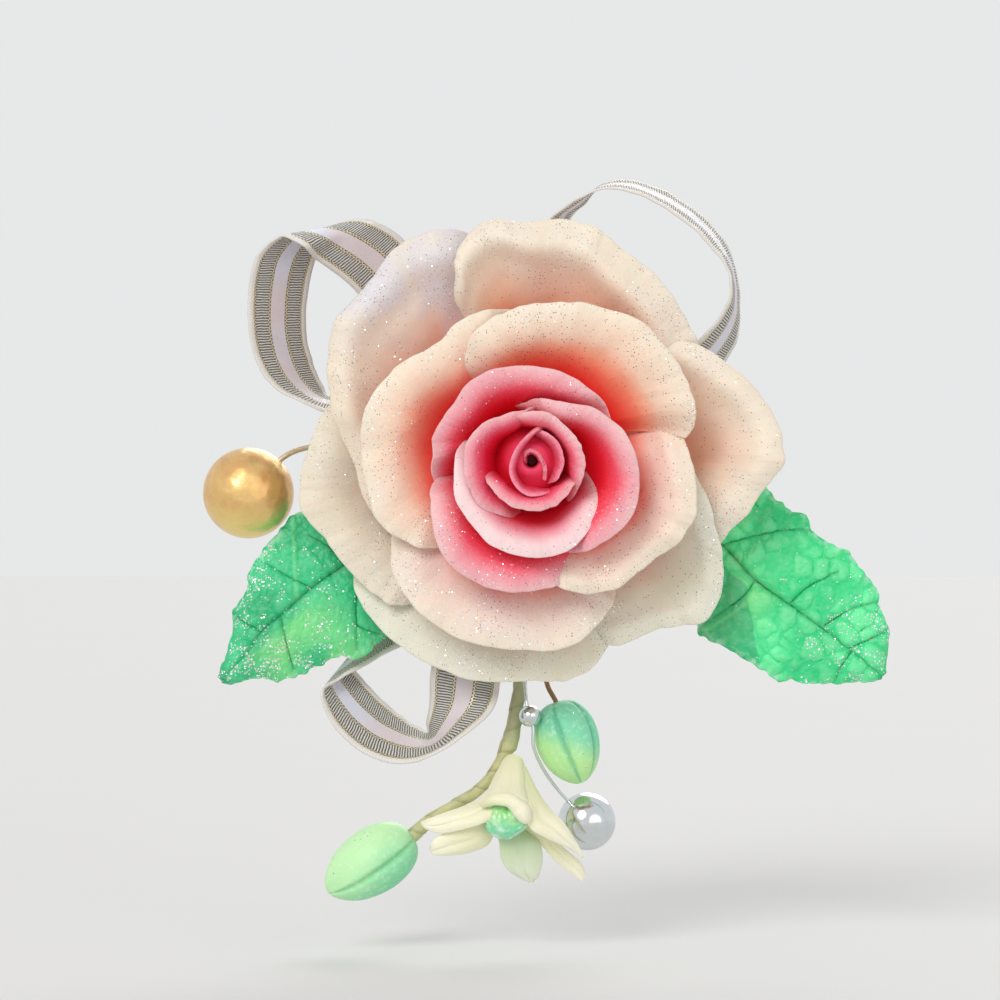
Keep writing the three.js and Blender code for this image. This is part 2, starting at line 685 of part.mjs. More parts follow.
const GOLD_PEARL_PLACE_SHARES = [-1.177, -0.131, 0.017];
const PEARL_WIRE_ANGLE = 183;
const PEARL_WIRE_SHARES = [[-0.65, 0.07, -0.09], [-0.932, 0.06, -0.06], [-1.03, 0.02, -0.02]];
const BEAD_HOLD_SHARE = 0.5; // of a bead's radius that its wire goes into it

// The point inside a bead where its wire stops.
function wireStop(centre, before, radius) {
  const way = centre.clone().sub(before).normalize();
  return centre.clone().addScaledVector(way, -(1 - BEAD_HOLD_SHARE) * radius);
}

function ball(centre, radius, around, down) {
  return solidOf(
    new THREE.SphereGeometry(radius, around, down).translate(centre.x, centre.y, centre.z),
  );
}

// Sprig

const STEM_ANGLE = -94;
const STEM_SHARES = [
  [-0.039, -0.7, -0.133], [-0.043, -0.938, -0.133], [-0.06, -1.043, -0.133],
  [-0.077, -1.147, -0.12], [-0.112, -1.231, -0.1], [-0.161, -1.315, -0.09],
  [-0.219, -1.377, -0.083], [-0.316, -1.438, -0.067], [-0.42, -1.5, -0.05],
];
const LEFT_BUD_SHARES = { stem: [-0.495, -1.565, -0.035], tip: [-0.858, -1.802, 0] };
const BUD_WIRE_ANGLE = -82;
const BUD_WIRE_SHARES = [[0.066, -0.749, -0.133], [0.07, -0.93, -0.133]];
const RIGHT_BUD_SHARES = { stem: [0.108, -1.008, -0.1], tip: [0.217, -1.356, -0.083] };
const BUD_HOLD_SHARE = 0.2; // of a bud's length that its stem goes into it

// Half outline of a bud from the stem to the tip, in shares of its radius and length.
const BUD_SHARES = [
  [0, 0], [0.34, 0.01], [0.66, 0.08], [0.9, 0.22], [1, 0.4], [0.96, 0.58], [0.8, 0.76],
  [0.52, 0.9], [0.2, 0.985], [0, 1],
];

function budSolid({ stem, tip }, length, radius) {
  const profile = BUD_SHARES.map(([radiusShare, share]) => [radiusShare * radius, share * length]);
  const start = spot(stem);
  return solidOf(aimed(lathed(profile, 18), start, spot(tip).sub(start)));
}

// Where the stem or wire of a bud stops, inside the bud.
function budHold({ stem, tip }, length) {
  const start = spot(stem);
  return start.clone().addScaledVector(spot(tip).sub(start).normalize(), BUD_HOLD_SHARE * length);
}

const SILVER_WIRE_ANGLE = -90;
const SILVER_ROOT_SHARE = 0.78;
const SMALL_BEAD_SHARES = [-0.002, -1.062, 0.015];
const SILVER_UPPER_SHARES = [
  [-0.027, -0.747, -0.05], [-0.023, -0.922, -0.03], [-0.014, -1.016, 0], SMALL_BEAD_SHARES,
];
// Its way past the right bud: along the bud in shares of its length, then to the left and
// forward of its axis in shares of its radius.
const SILVER_LOWER_SHARES = [
  [0.206, 0.927, 0.673], [0.4, 1.082, 0.654], [0.653, 1.036, 0.457], [0.925, 0.835, 0.142],
];
// The large bead from the right bud's tip, the same three ways in shares of its own radius.
const LARGE_BEAD_SHARES = [1.328, 0.218, -0.469];

function fromRightBud(along, left, forward) {
  const start = spot(RIGHT_BUD_SHARES.stem);
  const way = spot(RIGHT_BUD_SHARES.tip).sub(start).normalize();
  const leftWay = way.clone().cross(FORWARD).normalize();
  return start
    .addScaledVector(way, along)
    .addScaledVector(leftWay, left)
    .addScaledVector(leftWay.clone().cross(way), forward);
}

function silverPass([alongShare, leftShare, forwardShare]) {
  const along = alongShare * RIGHT_BUD_LENGTH;
  return fromRightBud(along, leftShare * RIGHT_BUD_RADIUS, forwardShare * RIGHT_BUD_RADIUS);
}

function largeBeadPlace() {
  const [along, left, forward] = LARGE_BEAD_SHARES.map((share) => share * LARGE_BEAD_RADIUS);
  return fromRightBud(RIGHT_BUD_LENGTH + along, left, forward);
}

// Blossom

const BLOSSOM_APEX_SHARES = [-0.068, -1.235, -0.055];
const BLOSSOM_THROAT_SHARES = [-0.102, -1.455, 0.133];
const CUP_SHARE = 0.68; // of the tube's length, where the bottom of its cup lies

// Half outline of the flower tube, out and back in round its cup, in shares of the throat's
// radius and the tube's length.
const TUBE_SHARES = [
  [0, 0], [0.28, 0.02], [0.56, 0.35], [0.78, 0.72], [1, 1], [0.8, 1], [0.5, 0.73], [0, CUP_SHARE],
];

// Half outline of the clear drop in the cup, in shares of its radius and length.
const DROP_SHARES = [
  [0, 0], [0.6, 0.05], [0.9, 0.25], [1, 0.5], [0.88, 0.78], [0.5, 0.96], [0, 1],
];

// Each petal: the turn round the tube where it grows from the rim, then pairs of points on its
// two edges, out to its tip.
const BLOSSOM_PETALS = {
  blossom_petal_upper_left: {
    turn: 155,
    edgeShares: [
      [[-0.31, -1.457, 0.1], [-0.26, -1.524, 0.15]],
      [[-0.39, -1.475, 0.08], [-0.35, -1.547, 0.12]],
      [[-0.44, -1.488, 0.07], [-0.41, -1.546, 0.08]],
      [[-0.46, -1.501, 0.07], [-0.44, -1.526, 0.07]],
    ],
  },
  blossom_petal_lower_left: {
    turn: 215,
    edgeShares: [
      [[-0.27, -1.536, 0.1], [-0.2, -1.616, 0.03]],
      [[-0.35, -1.562, 0.08], [-0.29, -1.641, 0.03]],
      [[-0.39, -1.588, 0.07], [-0.37, -1.644, 0.04]],
      [[-0.42, -1.618, 0.05], [-0.41, -1.639, 0.05]],
    ],
  },
  blossom_petal_bottom: {
    turn: 270,
    edgeShares: [
      [[-0.13, -1.627, 0.05], [0.05, -1.606, 0.05]],
      [[-0.11, -1.687, 0.03], [0.05, -1.67, 0.03]],
      [[-0.06, -1.725, 0.03], [0.04, -1.725, 0.03]],
      [[-0.01, -1.755, 0.02], [0.02, -1.755, 0.02]],
    ],
  },
  blossom_petal_lower_right: {
    turn: 325,
    edgeShares: [
      [[0.09, -1.643, 0], [0.12, -1.593, 0]],
      [[0.13, -1.686, -0.02], [0.19, -1.649, -0.02]],
      [[0.17, -1.724, -0.02], [0.22, -1.704, -0.03]],
      [[0.2, -1.759, -0.03], [0.22, -1.75, -0.03]],
    ],
  },
  blossom_petal_upper_right: {
    turn: 25,
    edgeShares: [
      [[0.06, -1.55, 0.2], [0.12, -1.478, 0.17]],
      [[0.12, -1.581, 0.17], [0.17, -1.553, 0.15]],
      [[0.18, -1.625, 0.13], [0.2, -1.613, 0.13]],
      [[0.21, -1.651, 0.12], [0.23, -1.643, 0.12]],
    ],
  },
  blossom_petal_front: {
    turn: 90,
    edgeShares: [
      [[-0.01, -1.461, 0.3], [-0.2, -1.42, 0.3]],
      [[-0.04, -1.417, 0.34], [-0.17, -1.388, 0.34]],
      [[-0.07, -1.403, 0.37], [-0.14, -1.387, 0.37]],
    ],
  },
};

const BLADE_SPREAD = 27; // degrees from the middle of a petal's root to either edge
const BLADE_CUP_SHARE = 0.12; // of a petal's own width that its middle stands out
const BLADE_CELLS = { across: 2, along: 8 };

function blossomAxis() {
  const apex = spot(BLOSSOM_APEX_SHARES);
  return { apex, way: spot(BLOSSOM_THROAT_SHARES).sub(apex).normalize() };
}

function tubeSolid(margin = 0) {
  const { apex, way } = blossomAxis();
  const profile = TUBE_SHARES.map(([radiusShare, share]) => [
    radiusShare * (BLOSSOM_THROAT_RADIUS + margin),
    share * (BLOSSOM_TUBE_LENGTH + margin),
  ]);
  return solidOf(aimed(lathed(profile, 18), apex, way));
}

function dropSolid(margin = 0) {
  const { apex, way } = blossomAxis();
  const start = apex.addScaledVector(way, CUP_SHARE * BLOSSOM_TUBE_LENGTH + GAP - margin);
  const profile = DROP_SHARES.map(([radiusShare, share]) => [
    radiusShare * (BLOSSOM_DROP_RADIUS + margin),
    share * (BLOSSOM_DROP_LENGTH + 2 * margin),
  ]);
  return solidOf(aimed(lathed(profile, 14), start, way));
}

// A point just past the tube's rim, at a turn in degrees.
function rimPoint(degrees) {
  const { apex, way } = blossomAxis();
  const upward = FORWARD.clone().addScaledVector(way, -way.dot(FORWARD)).normalize();
  const rightward = upward.clone().cross(way);
  const turn = degrees * DEGREE;
  return apex
    .addScaledVector(way, BLOSSOM_TUBE_LENGTH + GAP)
    .addScaledVector(rightward, Math.cos(turn) * BLOSSOM_THROAT_RADIUS)
    .addScaledVector(upward, Math.sin(turn) * BLOSSOM_THROAT_RADIUS);
}

function bladeSurface({ turn, edgeShares }) {
  const root = [rimPoint(turn - BLADE_SPREAD), rimPoint(turn + BLADE_SPREAD)];
  const pairs = [root, ...edgeShares.map((pair) => pair.map(spot))];
  const first = new THREE.CatmullRomCurve3(pairs.map((pair) => pair[0]));
  const second = new THREE.CatmullRomCurve3(pairs.map((pair) => pair[1]));
  return (across, along) => {
    const start = first.getPoint(along);
    const end = second.getPoint(along);
    const cup = BLADE_CUP_SHARE * start.distanceTo(end) * Math.sin(Math.PI * across);
    return start.lerp(end, across).addScaledVector(FORWARD, cup);
  };
}

function bladeSolid(petal, margin = 0) {
  const { across, along } = BLADE_CELLS;
  return sheet(bladeSurface(petal), BLOSSOM_PETAL_THICKNESS, across, along, margin);
}

// Bar pin, in its own frame: +Y is away from the flower, the bar's back face is y = 0, the hinge
// is on the -X side and the catch on the +X side.

const HALF_SPAN = PIN_SPAN / 2;
const EAR_INSIDE = KNUCKLE_WIDTH / 2 + GAP;
const EAR_OUTSIDE = EAR_INSIDE + SHEET_METAL;
const RIVET_BORE_RADIUS = RIVET_RADIUS + GAP;
const BAR_HOLE_PLACE_SHARES = [-0.22, 0, 0.22];
const FOOT_HALF_LENGTH = KNUCKLE_RADIUS + SHEET_METAL;

function block(size, centre) {
  return solidOf(new THREE.BoxGeometry(...size).translate(...centre));
}

// A round bar along +X or +Z about a centre.
function rod(radius, length, centre, alongX, segments = 24) {
  const geometry = new THREE.CylinderGeometry(radius, radius, length, segments);
  if (alongX) geometry.rotateZ(Math.PI / 2);
  else geometry.rotateX(Math.PI / 2);
  return solidOf(geometry.translate(...centre));
}

function barSolid() {
  const half = BAR_LENGTH / 2 - BAR_WIDTH / 2;
  const outline = new THREE.Shape();
  outline.absarc(half, 0, BAR_WIDTH / 2, -Math.PI / 2, Math.PI / 2);
  outline.absarc(-half, 0, BAR_WIDTH / 2, Math.PI / 2, (3 * Math.PI) / 2);
  for (const share of BAR_HOLE_PLACE_SHARES) {
    const hole = new THREE.Path();
    hole.absarc(share * BAR_LENGTH, 0, BAR_HOLE_RADIUS, 0, 2 * Math.PI);
    outline.holes.push(hole);
  }
  const geometry = new THREE.ExtrudeGeometry(outline, {
    depth: BAR_THICKNESS,
    curveSegments: 12,
    bevelEnabled: false,
  });
  return solidOf(geometry.rotateX(Math.PI / 2));
}

function hingeSolid() {
  const outline = new THREE.Shape();
  outline.moveTo(-FOOT_HALF_LENGTH, 0);
  outline.lineTo(FOOT_HALF_LENGTH, 0);
  outline.absarc(0, PIN_STAND, RIVET_BORE_RADIUS + SHEET_METAL, 0, Math.PI);
  const ears = new THREE.ExtrudeGeometry(outline, {
    depth: 2 * EAR_OUTSIDE,
    curveSegments: 10,
    bevelEnabled: false,
  });
  ears.translate(-HALF_SPAN, 0, -EAR_OUTSIDE);
  const roomHeight = PIN_STAND + KNUCKLE_RADIUS + OVERRUN - SHEET_METAL;
  const room = block(
    [2 * FOOT_HALF_LENGTH + OVERRUN, roomHeight, 2 * EAR_INSIDE],
    [-HALF_SPAN, SHEET_METAL + roomHeight / 2, 0],
  );
  const bore = rod(RIVET_BORE_RADIUS, 2 * (EAR_OUTSIDE + OVERRUN), [-HALF_SPAN, PIN_STAND, 0]);
  return solidOf(ears).subtract(room).subtract(bore);
}

function rivetSolid() {
  const headStart = EAR_OUTSIDE + GAP / 3;
  const headEnd = headStart + RIVET_HEAD_THICKNESS;
  const profile = [
    [0, -headEnd],
    [RIVET_HEAD_RADIUS, -headEnd],
    [RIVET_HEAD_RADIUS, -headStart],
    [RIVET_RADIUS, -headStart],
    [RIVET_RADIUS, headStart],
    [RIVET_HEAD_RADIUS, headStart],
    [RIVET_HEAD_RADIUS, headEnd],
    [0, headEnd],
  ];
  const geometry = lathed(profile, 20).rotateX(Math.PI / 2);
  return solidOf(geometry.translate(-HALF_SPAN, PIN_STAND, 0));
}

// The stem's own frame has the hinge axis at its origin.
function pinStemSolid() {
  const length = PIN_SPAN + PIN_OVERREACH;
  const profile = [
    [0, 0],
    [PIN_RADIUS, 0],
    [PIN_RADIUS, length - PIN_POINT_LENGTH],
    [PIN_RADIUS / 2, length - PIN_POINT_LENGTH / 3],
    [0, length],
  ];
  const stem = solidOf(lathed(profile, 12).rotateZ(-Math.PI / 2));
  const knuckle = rod(KNUCKLE_RADIUS, KNUCKLE_WIDTH, [0, 0, 0]);
  const bore = rod(RIVET_BORE_RADIUS, KNUCKLE_WIDTH + OVERRUN, [0, 0, 0]);
  return knuckle.add(stem).subtract(bore);
}

function catchSolid() {
  const shell = rod(CATCH_RADIUS, CATCH_WIDTH, [0, PIN_STAND, 0], true, 32);
  const post = block([CATCH_WIDTH, PIN_STAND, CATCH_RADIUS], [0, PIN_STAND / 2, 0]);
  const foot = block(
    [CATCH_WIDTH + 2 * SHEET_METAL, SHEET_METAL, BAR_WIDTH - SHEET_METAL],
    [0, SHEET_METAL / 2, 0],
  );
  const bore = rod(CATCH_BORE_RADIUS, CATCH_WIDTH + OVERRUN, [0, PIN_STAND, 0], true, 32);
  const mouth = block(
    [CATCH_WIDTH + OVERRUN, CATCH_RADIUS + OVERRUN, CATCH_MOUTH],
    [0, PIN_STAND + (CATCH_RADIUS + OVERRUN) / 2, 0],
  );
  return shell.add(post).add(foot).subtract(bore).subtract(mouth);
}

// The collar's own frame has its turning axis at its origin. Its lever hangs at rest.
function collarSolid() {
  const halfInside = CATCH_WIDTH / 2 + GAP;
  const halfLength = halfInside + SHEET_METAL;
  const profile = [
    [0, -halfLength],
    [COLLAR_FLANGE_RADIUS, -halfLength],
    [COLLAR_FLANGE_RADIUS, -halfInside],
    [COLLAR_RADIUS, -halfInside],
    [COLLAR_RADIUS, halfInside],
    [COLLAR_FLANGE_RADIUS, halfInside],
    [COLLAR_FLANGE_RADIUS, halfLength],
    [0, halfLength],
  ];
  const body = solidOf(lathed(profile, 32).rotateZ(-Math.PI / 2));
  const lever = block(
    [SHEET_METAL, LEVER_WIDTH, LEVER_REACH],
    [halfInside + SHEET_METAL / 2, 0, -LEVER_REACH / 2],
  );
  const bore = rod(COLLAR_BORE_RADIUS, 2 * (halfLength + OVERRUN), [0, 0, 0], true);
  const mouth = block(
    [2 * (halfLength + OVERRUN), COLLAR_FLANGE_RADIUS + OVERRUN, COLLAR_MOUTH],
    [0, (COLLAR_FLANGE_RADIUS + OVERRUN) / 2, 0],
  );
  return body.add(lever).subtract(bore).subtract(mouth);
}

// Colours and finishes

function finish(color, roughness, metalness = 0) {
  return { color, roughness, metalness };
}

const DEEP_PINK = finish(0xc2304f, 0.6);
const PINK = finish(0xe88a9c, 0.6);
const PEACH = finish(0xf3cdb6, 0.6);
const CREAM = finish(0xf3e9da, 0.6);
const CLAY_WHITE = finish(0xe9e2d4, 0.8);
const FELT = finish(0xf1ece2, 1);
const LEAF_GREEN = finish(0x34b57c, 0.5);
const BUD_GREEN = finish(0x9fdc9f, 0.5);
const BLOSSOM_CREAM = finish(0xf4eecb, 0.6);
const BLOSSOM_GREEN = finish(0x7fc98e, 0.3);
const TAPE = finish(0x8f9156, 0.8);
const RIBBON = finish(0xcfcac4, 0.5);
const GOLD = finish(0xd2a04c, 0.35, 0.8);
const SILVER = finish(0xd8dade, 0.1, 1);
const STEEL = finish(0xc9c9c6, 0.3, 1);
const COPPER_WIRE = finish(0x9a8058, 0.5, 0.6);

function petalFinish(name) {
  if (name.startsWith("bud")) return DEEP_PINK;
  if (name.startsWith("petal_inner") || name.startsWith("petal_pink")) return PINK;
  return name.startsWith("petal_middle") ? PEACH : CREAM;
}

function meshOf(name, solid, look) {
  const mesh = new THREE.Mesh(geometryOf(solid), new THREE.MeshStandardMaterial(look));
  mesh.name = name;
  return mesh;
}

// Assembly

const brooch = new THREE.Group();

// What enters the base is made twice: as itself, and wider by the gap to cut its socket.
const socketCutters = [];

function rootedWire(route, radius, sides, steps) {
  socketCutters.push(wire(route, radius + GAP, sides, steps));
  return wire(route, radius, sides, steps);
}

for (const [name, loop] of Object.entries(RIBBON_LOOPS)) {
  brooch.add(meshOf(name, ribbonSolid(loop), RIBBON));
  socketCutters.push(ribbonSolid(loop, GAP));
}

for (const [name, leaf] of Object.entries(LEAVES)) {
  brooch.add(meshOf(name, leafSolid(leaf), LEAF_GREEN));
  const stalk = rootedWire(leafWireRoute(leaf), LEAF_WIRE_RADIUS, 6, 12);
  brooch.add(meshOf(name + "_wire", stalk, COPPER_WIRE));
}

const pearlCentre = spot(GOLD_PEARL_PLACE_SHARES);
const pearlApproach = PEARL_WIRE_SHARES.map(spot);
const pearlWireRoute = [
  ...baseRoot(PEARL_WIRE_ANGLE),
  ...pearlApproach,
  wireStop(pearlCentre, pearlApproach.at(-1), GOLD_PEARL_RADIUS),
];
brooch.add(meshOf("pearl_wire", rootedWire(pearlWireRoute, PEARL_WIRE_RADIUS, 6, 14), COPPER_WIRE));
const pearlBore = socketCutters.at(-1);
const pearl = ball(pearlCentre, GOLD_PEARL_RADIUS, 20, 12).subtract(pearlBore);
brooch.add(meshOf("gold_pearl", pearl, GOLD));

const stemRoute = [
  ...baseRoot(STEM_ANGLE),
  ...STEM_SHARES.map(spot),
  spot(LEFT_BUD_SHARES.stem),
  budHold(LEFT_BUD_SHARES, LEFT_BUD_LENGTH),
];
brooch.add(meshOf("sprig_stem", rootedWire(stemRoute, STEM_RADIUS, 8, 26), TAPE));
const stemCutter = socketCutters.at(-1);
const leftBud = budSolid(LEFT_BUD_SHARES, LEFT_BUD_LENGTH, LEFT_BUD_RADIUS);
brooch.add(meshOf("bud_left", leftBud.subtract(stemCutter), BUD_GREEN));

const budWireRoute = [
  ...baseRoot(BUD_WIRE_ANGLE),
  ...BUD_WIRE_SHARES.map(spot),
  spot(RIGHT_BUD_SHARES.stem),
  budHold(RIGHT_BUD_SHARES, RIGHT_BUD_LENGTH),
];
brooch.add(meshOf("bud_right_wire", rootedWire(budWireRoute, BUD_WIRE_RADIUS, 6, 12), COPPER_WIRE));
const rightBud = budSolid(RIGHT_BUD_SHARES, RIGHT_BUD_LENGTH, RIGHT_BUD_RADIUS);
brooch.add(meshOf("bud_right", rightBud.subtract(socketCutters.at(-1)), BUD_GREEN));

const largeBead = largeBeadPlace();
const silverApproach = [...SILVER_UPPER_SHARES.map(spot), ...SILVER_LOWER_SHARES.map(silverPass)];
const silverRoute = [
  ...baseRoot(SILVER_WIRE_ANGLE, SILVER_ROOT_SHARE),
  ...silverApproach,
  wireStop(largeBead, silverApproach.at(-1), LARGE_BEAD_RADIUS),
];
brooch.add(meshOf("silver_wire", rootedWire(silverRoute, SILVER_WIRE_RADIUS, 6, 24), SILVER));
const silverBore = socketCutters.at(-1);
const smallBead = ball(spot(SMALL_BEAD_SHARES), SMALL_BEAD_RADIUS, 12, 8);
brooch.add(meshOf("silver_bead_small", smallBead.subtract(silverBore), SILVER));
const bigBead = ball(largeBead, LARGE_BEAD_RADIUS, 16, 10);
brooch.add(meshOf("silver_bead_large", bigBead.subtract(silverBore), SILVER));

brooch.add(meshOf("blossom_centre", dropSolid(), BLOSSOM_GREEN));
const blossomCutters = [stemCutter, silverBore, dropSolid(GAP)];
brooch.add(meshOf("blossom_tube", without(tubeSolid(), blossomCutters), BLOSSOM_CREAM));
blossomCutters.push(tubeSolid(GAP));
blossomCutters.push(ball(largeBead, LARGE_BEAD_RADIUS + GAP, 16, 10));
for (const [name, petal] of Object.entries(BLOSSOM_PETALS)) {
  brooch.add(meshOf(name, without(bladeSolid(petal), blossomCutters), BLOSSOM_CREAM));
  blossomCutters.push(bladeSolid(petal, GAP));
}

const petalCutters = [...socketCutters, coreSolid(GAP), baseBlank(GAP)];
for (const [name, solid] of petalSolids(petalCutters)) {
  brooch.add(meshOf(name, solid, petalFinish(name)));
}
brooch.add(meshOf("rose_core", coreSolid(), CLAY_WHITE));
brooch.add(meshOf("flower_base", without(baseBlank(), socketCutters), CLAY_WHITE));
brooch.add(meshOf("felt_pad", padSolid(), FELT));

const barPin = new THREE.Group();
barPin.position.set(0, BAR_THICKNESS, BAR_RISE);
barPin.add(meshOf("pin_bar", barSolid(), STEEL));
barPin.add(meshOf("hinge_bracket", hingeSolid(), STEEL));
barPin.add(meshOf("hinge_rivet", rivetSolid(), STEEL));
const pinStem = meshOf("pin_stem", pinStemSolid(), STEEL);
pinStem.position.set(-HALF_SPAN, PIN_STAND, 0);
const catchShell = meshOf("catch_shell", catchSolid(), STEEL);
catchShell.position.set(HALF_SPAN, 0, 0);
const catchCollar = meshOf("catch_collar", collarSolid(), STEEL);
catchCollar.position.set(HALF_SPAN, PIN_STAND, 0);
barPin.add(pinStem, catchShell, catchCollar);
brooch.add(barPin);

export default brooch;
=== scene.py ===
"""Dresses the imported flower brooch: clay rose and leaves, ribbon, beads, sprig, felt and pin."""

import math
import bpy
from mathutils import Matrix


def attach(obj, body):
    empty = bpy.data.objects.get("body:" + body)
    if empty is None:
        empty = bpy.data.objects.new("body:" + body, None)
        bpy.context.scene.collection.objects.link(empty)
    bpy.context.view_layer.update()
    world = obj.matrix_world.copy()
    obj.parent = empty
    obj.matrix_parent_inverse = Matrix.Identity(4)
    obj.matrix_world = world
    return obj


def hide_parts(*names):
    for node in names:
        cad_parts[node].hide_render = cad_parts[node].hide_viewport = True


bl_info = {
    "name": "Flower Brooch",
    "version": (1, 0, 0),
    "blender": (4, 5, 0),
    "location": "3D Viewport > Sidebar > Brooch",
    "description": "Builds the clay rose brooch, its finishes and its stage round the packed frame",
    "category": "Add Mesh",
}

import bmesh
import bpy
from bpy.props import FloatProperty, FloatVectorProperty, PointerProperty
from mathutils import Vector, noise
from mathutils.kdtree import KDTree

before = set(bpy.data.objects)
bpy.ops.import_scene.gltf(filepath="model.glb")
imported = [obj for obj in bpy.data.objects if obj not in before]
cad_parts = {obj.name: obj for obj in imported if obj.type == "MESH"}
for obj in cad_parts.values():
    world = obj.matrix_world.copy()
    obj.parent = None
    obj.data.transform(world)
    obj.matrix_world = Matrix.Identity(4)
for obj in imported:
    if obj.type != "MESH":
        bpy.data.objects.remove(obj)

MM = 0.001
TURN = 2 * math.pi
DEGREE = math.pi / 180
FORWARD = Vector((0, -1, 0))

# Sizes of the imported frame, in millimetres.
ROSE_RADIUS = 39
ROSE_HEIGHT = 30
PAD_RADIUS = 20
PAD_THICKNESS = 2
BASE_RADIUS = 17
BASE_HEIGHT = 7
SOCKET_DEPTH = 4
GAP = 0.3
PETAL_BASE = PAD_THICKNESS + BASE_HEIGHT
RIBBON_WIDTH = 11.5
LEAF_ARCH = 2
LEAF_DROOP = 1.3
LEAF_THICKNESS = 1
LEAF_WIRE_RADIUS = 0.5
GOLD_PEARL_RADIUS = 7.4
PEARL_WIRE_RADIUS = 0.45
STEM_RADIUS = 1.2
BUD_WIRE_RADIUS = 0.4
SILVER_WIRE_RADIUS = 0.28
SMALL_BEAD_RADIUS = 1.8
LARGE_BEAD_RADIUS = 4.75
TUBE_LENGTH = 9.7
THROAT_RADIUS = 4.4
DROP_RADIUS = 2.7
DROP_LENGTH = 7
BAR_RISE = 6.5
BAR_THICKNESS = 0.8


# Places and ways


def around_axis(angle, radius, height):
    return Vector((radius * math.cos(angle), -height, radius * math.sin(angle)))


def spot(shares):
    """A place in shares: right and up of the rose's radius, forward of its height."""
    right, up, forward = shares
    height = PETAL_BASE + forward * ROSE_HEIGHT
    return Vector((right * ROSE_RADIUS, -height, up * ROSE_RADIUS))


def base_root(degrees, height_share=0.45):
    angle = degrees * DEGREE
    height = PAD_THICKNESS + height_share * BASE_HEIGHT
    return [
        around_axis(angle, BASE_RADIUS - SOCKET_DEPTH, height),
        around_axis(angle, BASE_RADIUS + GAP, height),
    ]


def smooth_line(points):
    """A centripetal spline through the points, as a function of the share of the way along it."""
    points = [Vector(point) for point in points]
    ends = [2 * points[0] - points[1], *points, 2 * points[-1] - points[-2]]

    def place(share):
        way = min(max(share, 0), 1) * (len(points) - 1)
        step = min(int(way), len(points) - 2)
        t = way - step
        a, b, c, d = ends[step : step + 4]
        middle = (c - b).length ** 0.5
        middle = middle if middle > 1e-4 else 1
        before = (b - a).length ** 0.5
        before = before if before > 1e-4 else middle
        after = (d - c).length ** 0.5
        after = after if after > 1e-4 else middle
        start = ((b - a) / before - (c - a) / (before + middle) + (c - b) / middle) * middle
        end = ((c - b) / middle - (d - b) / (middle + after) + (d - c) / after) * middle
        curve = -3 * b + 3 * c - 2 * start - end
        return b + start * t + curve * t**2 + (2 * b - 2 * c + start + end) * t**3

    return place


def cubic(t, a, b, c, d):
    s = 1 - t
    return s**3 * a + 3 * s * s * t * b + 3 * s * t * t * c + t**3 * d


def ease(value, low, high):
    share = min(max((value - low) / (high - low), 0), 1)
    return share * share * (3 - 2 * share)


def lumps(point, size, seed=0.0):
    """Smooth noise from -1 to 1 whose bumps are about one size across."""
    return noise.noise(Vector(point) / size + Vector((seed, seed * 0.7, -seed)))


# Mesh pieces


def grid(place, across, along, closed=False):
    """A bmesh grid whose points go to place(across share, along share), given in millimetres."""
    bm = bmesh.new()
    bm.loops.layers.uv.verify()
    bmesh.ops.create_grid(bm, x_segments=across, y_segments=along, size=1, calc_uvs=True)
    for vert in bm.verts:
        vert.co = place((vert.co.x + 1) / 2, (vert.co.y + 1) / 2) * MM
    if closed:
        bmesh.ops.remove_doubles(bm, verts=bm.verts, dist=1e-7)
        bmesh.ops.holes_fill(bm, edges=[edge for edge in bm.edges if edge.is_boundary], sides=0)
        bmesh.ops.recalc_face_normals(bm, faces=bm.faces)
    return bm


def piece(name, bm, material, slot, body="flower", replaces=()):
    """Turns a bmesh into a smooth piece that rides on a body and stands for its CAD nodes."""
    mesh = bpy.data.meshes.new(name)
    for face in bm.faces:
        face.smooth = True
    bm.to_mesh(mesh)
    bm.free()
    mesh.materials.append(material)
    made = bpy.data.objects.new(name, mesh)
    bpy.context.scene.collection.objects.link(made)
    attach(made, body)
    if replaces:
        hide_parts(*replaces)
    return made


def solidify(made, thickness, edge_share=1.0, group=None):
    wall = made.modifiers.new("Wall", "SOLIDIFY")
    wall.thickness = thickness * MM
    wall.offset = 0
    wall.use_quality_normals = True
    if group:
        wall.vertex_group = group
        wall.thickness_vertex_group = edge_share


def subdivide(made, levels=1):
    smooth = made.modifiers.new("Smooth", "SUBSURF")
    smooth.levels = levels
    smooth.render_levels = levels


def corners(bm):
    """Each vertex with its shares of the way across and along."""
    uv = bm.loops.layers.uv.verify()
    return {loop.vert: tuple(loop[uv].uv) for face in bm.faces for loop in face.loops}


def weigh(bm, weight):
    """Stores weight(across, along) in the first vertex group of the bmesh."""
    layer = bm.verts.layers.deform.verify()
    for vert, shares in corners(bm).items():
        vert[layer][0] = min(max(weight(*shares), 0), 1)


def store(bm, name, value):
    """Stores value(across, along) in a named attribute of the vertices."""
    layer = bm.verts.layers.float.new(name)
    for vert, shares in corners(bm).items():
        vert[layer] = min(max(value(*shares), 0), 1)


def loose_lines(route, steps):
    """Places along a route, each with two ways square to it that never twist."""
    places = [route(step / steps) for step in range(steps + 1)]
    ways = [
        (places[min(step + 1, steps)] - places[max(step - 1, 0)]).normalized()
        for step in range(steps + 1)
    ]
    side = ways[0].orthogonal().normalized()
    frames = []
    for place, way in zip(places, ways):
        side = (side - way * side.dot(way)).normalized()
        frames.append((place, side, way.cross(side)))
    return frames


def tube(route, radius, sides, steps):
    """A closed tube along a route. radius is a length or a function of turn and way along."""
    frames = loose_lines(route, steps)
    size = radius if callable(radius) else lambda turn, along: radius

    def place(turn, along):
        centre, side, up = frames[round(along * steps)]
        angle = TURN * turn
        return centre + (side * math.cos(angle) + up * math.sin(angle)) * size(turn, along)

    return grid(place, sides, steps, closed=True)


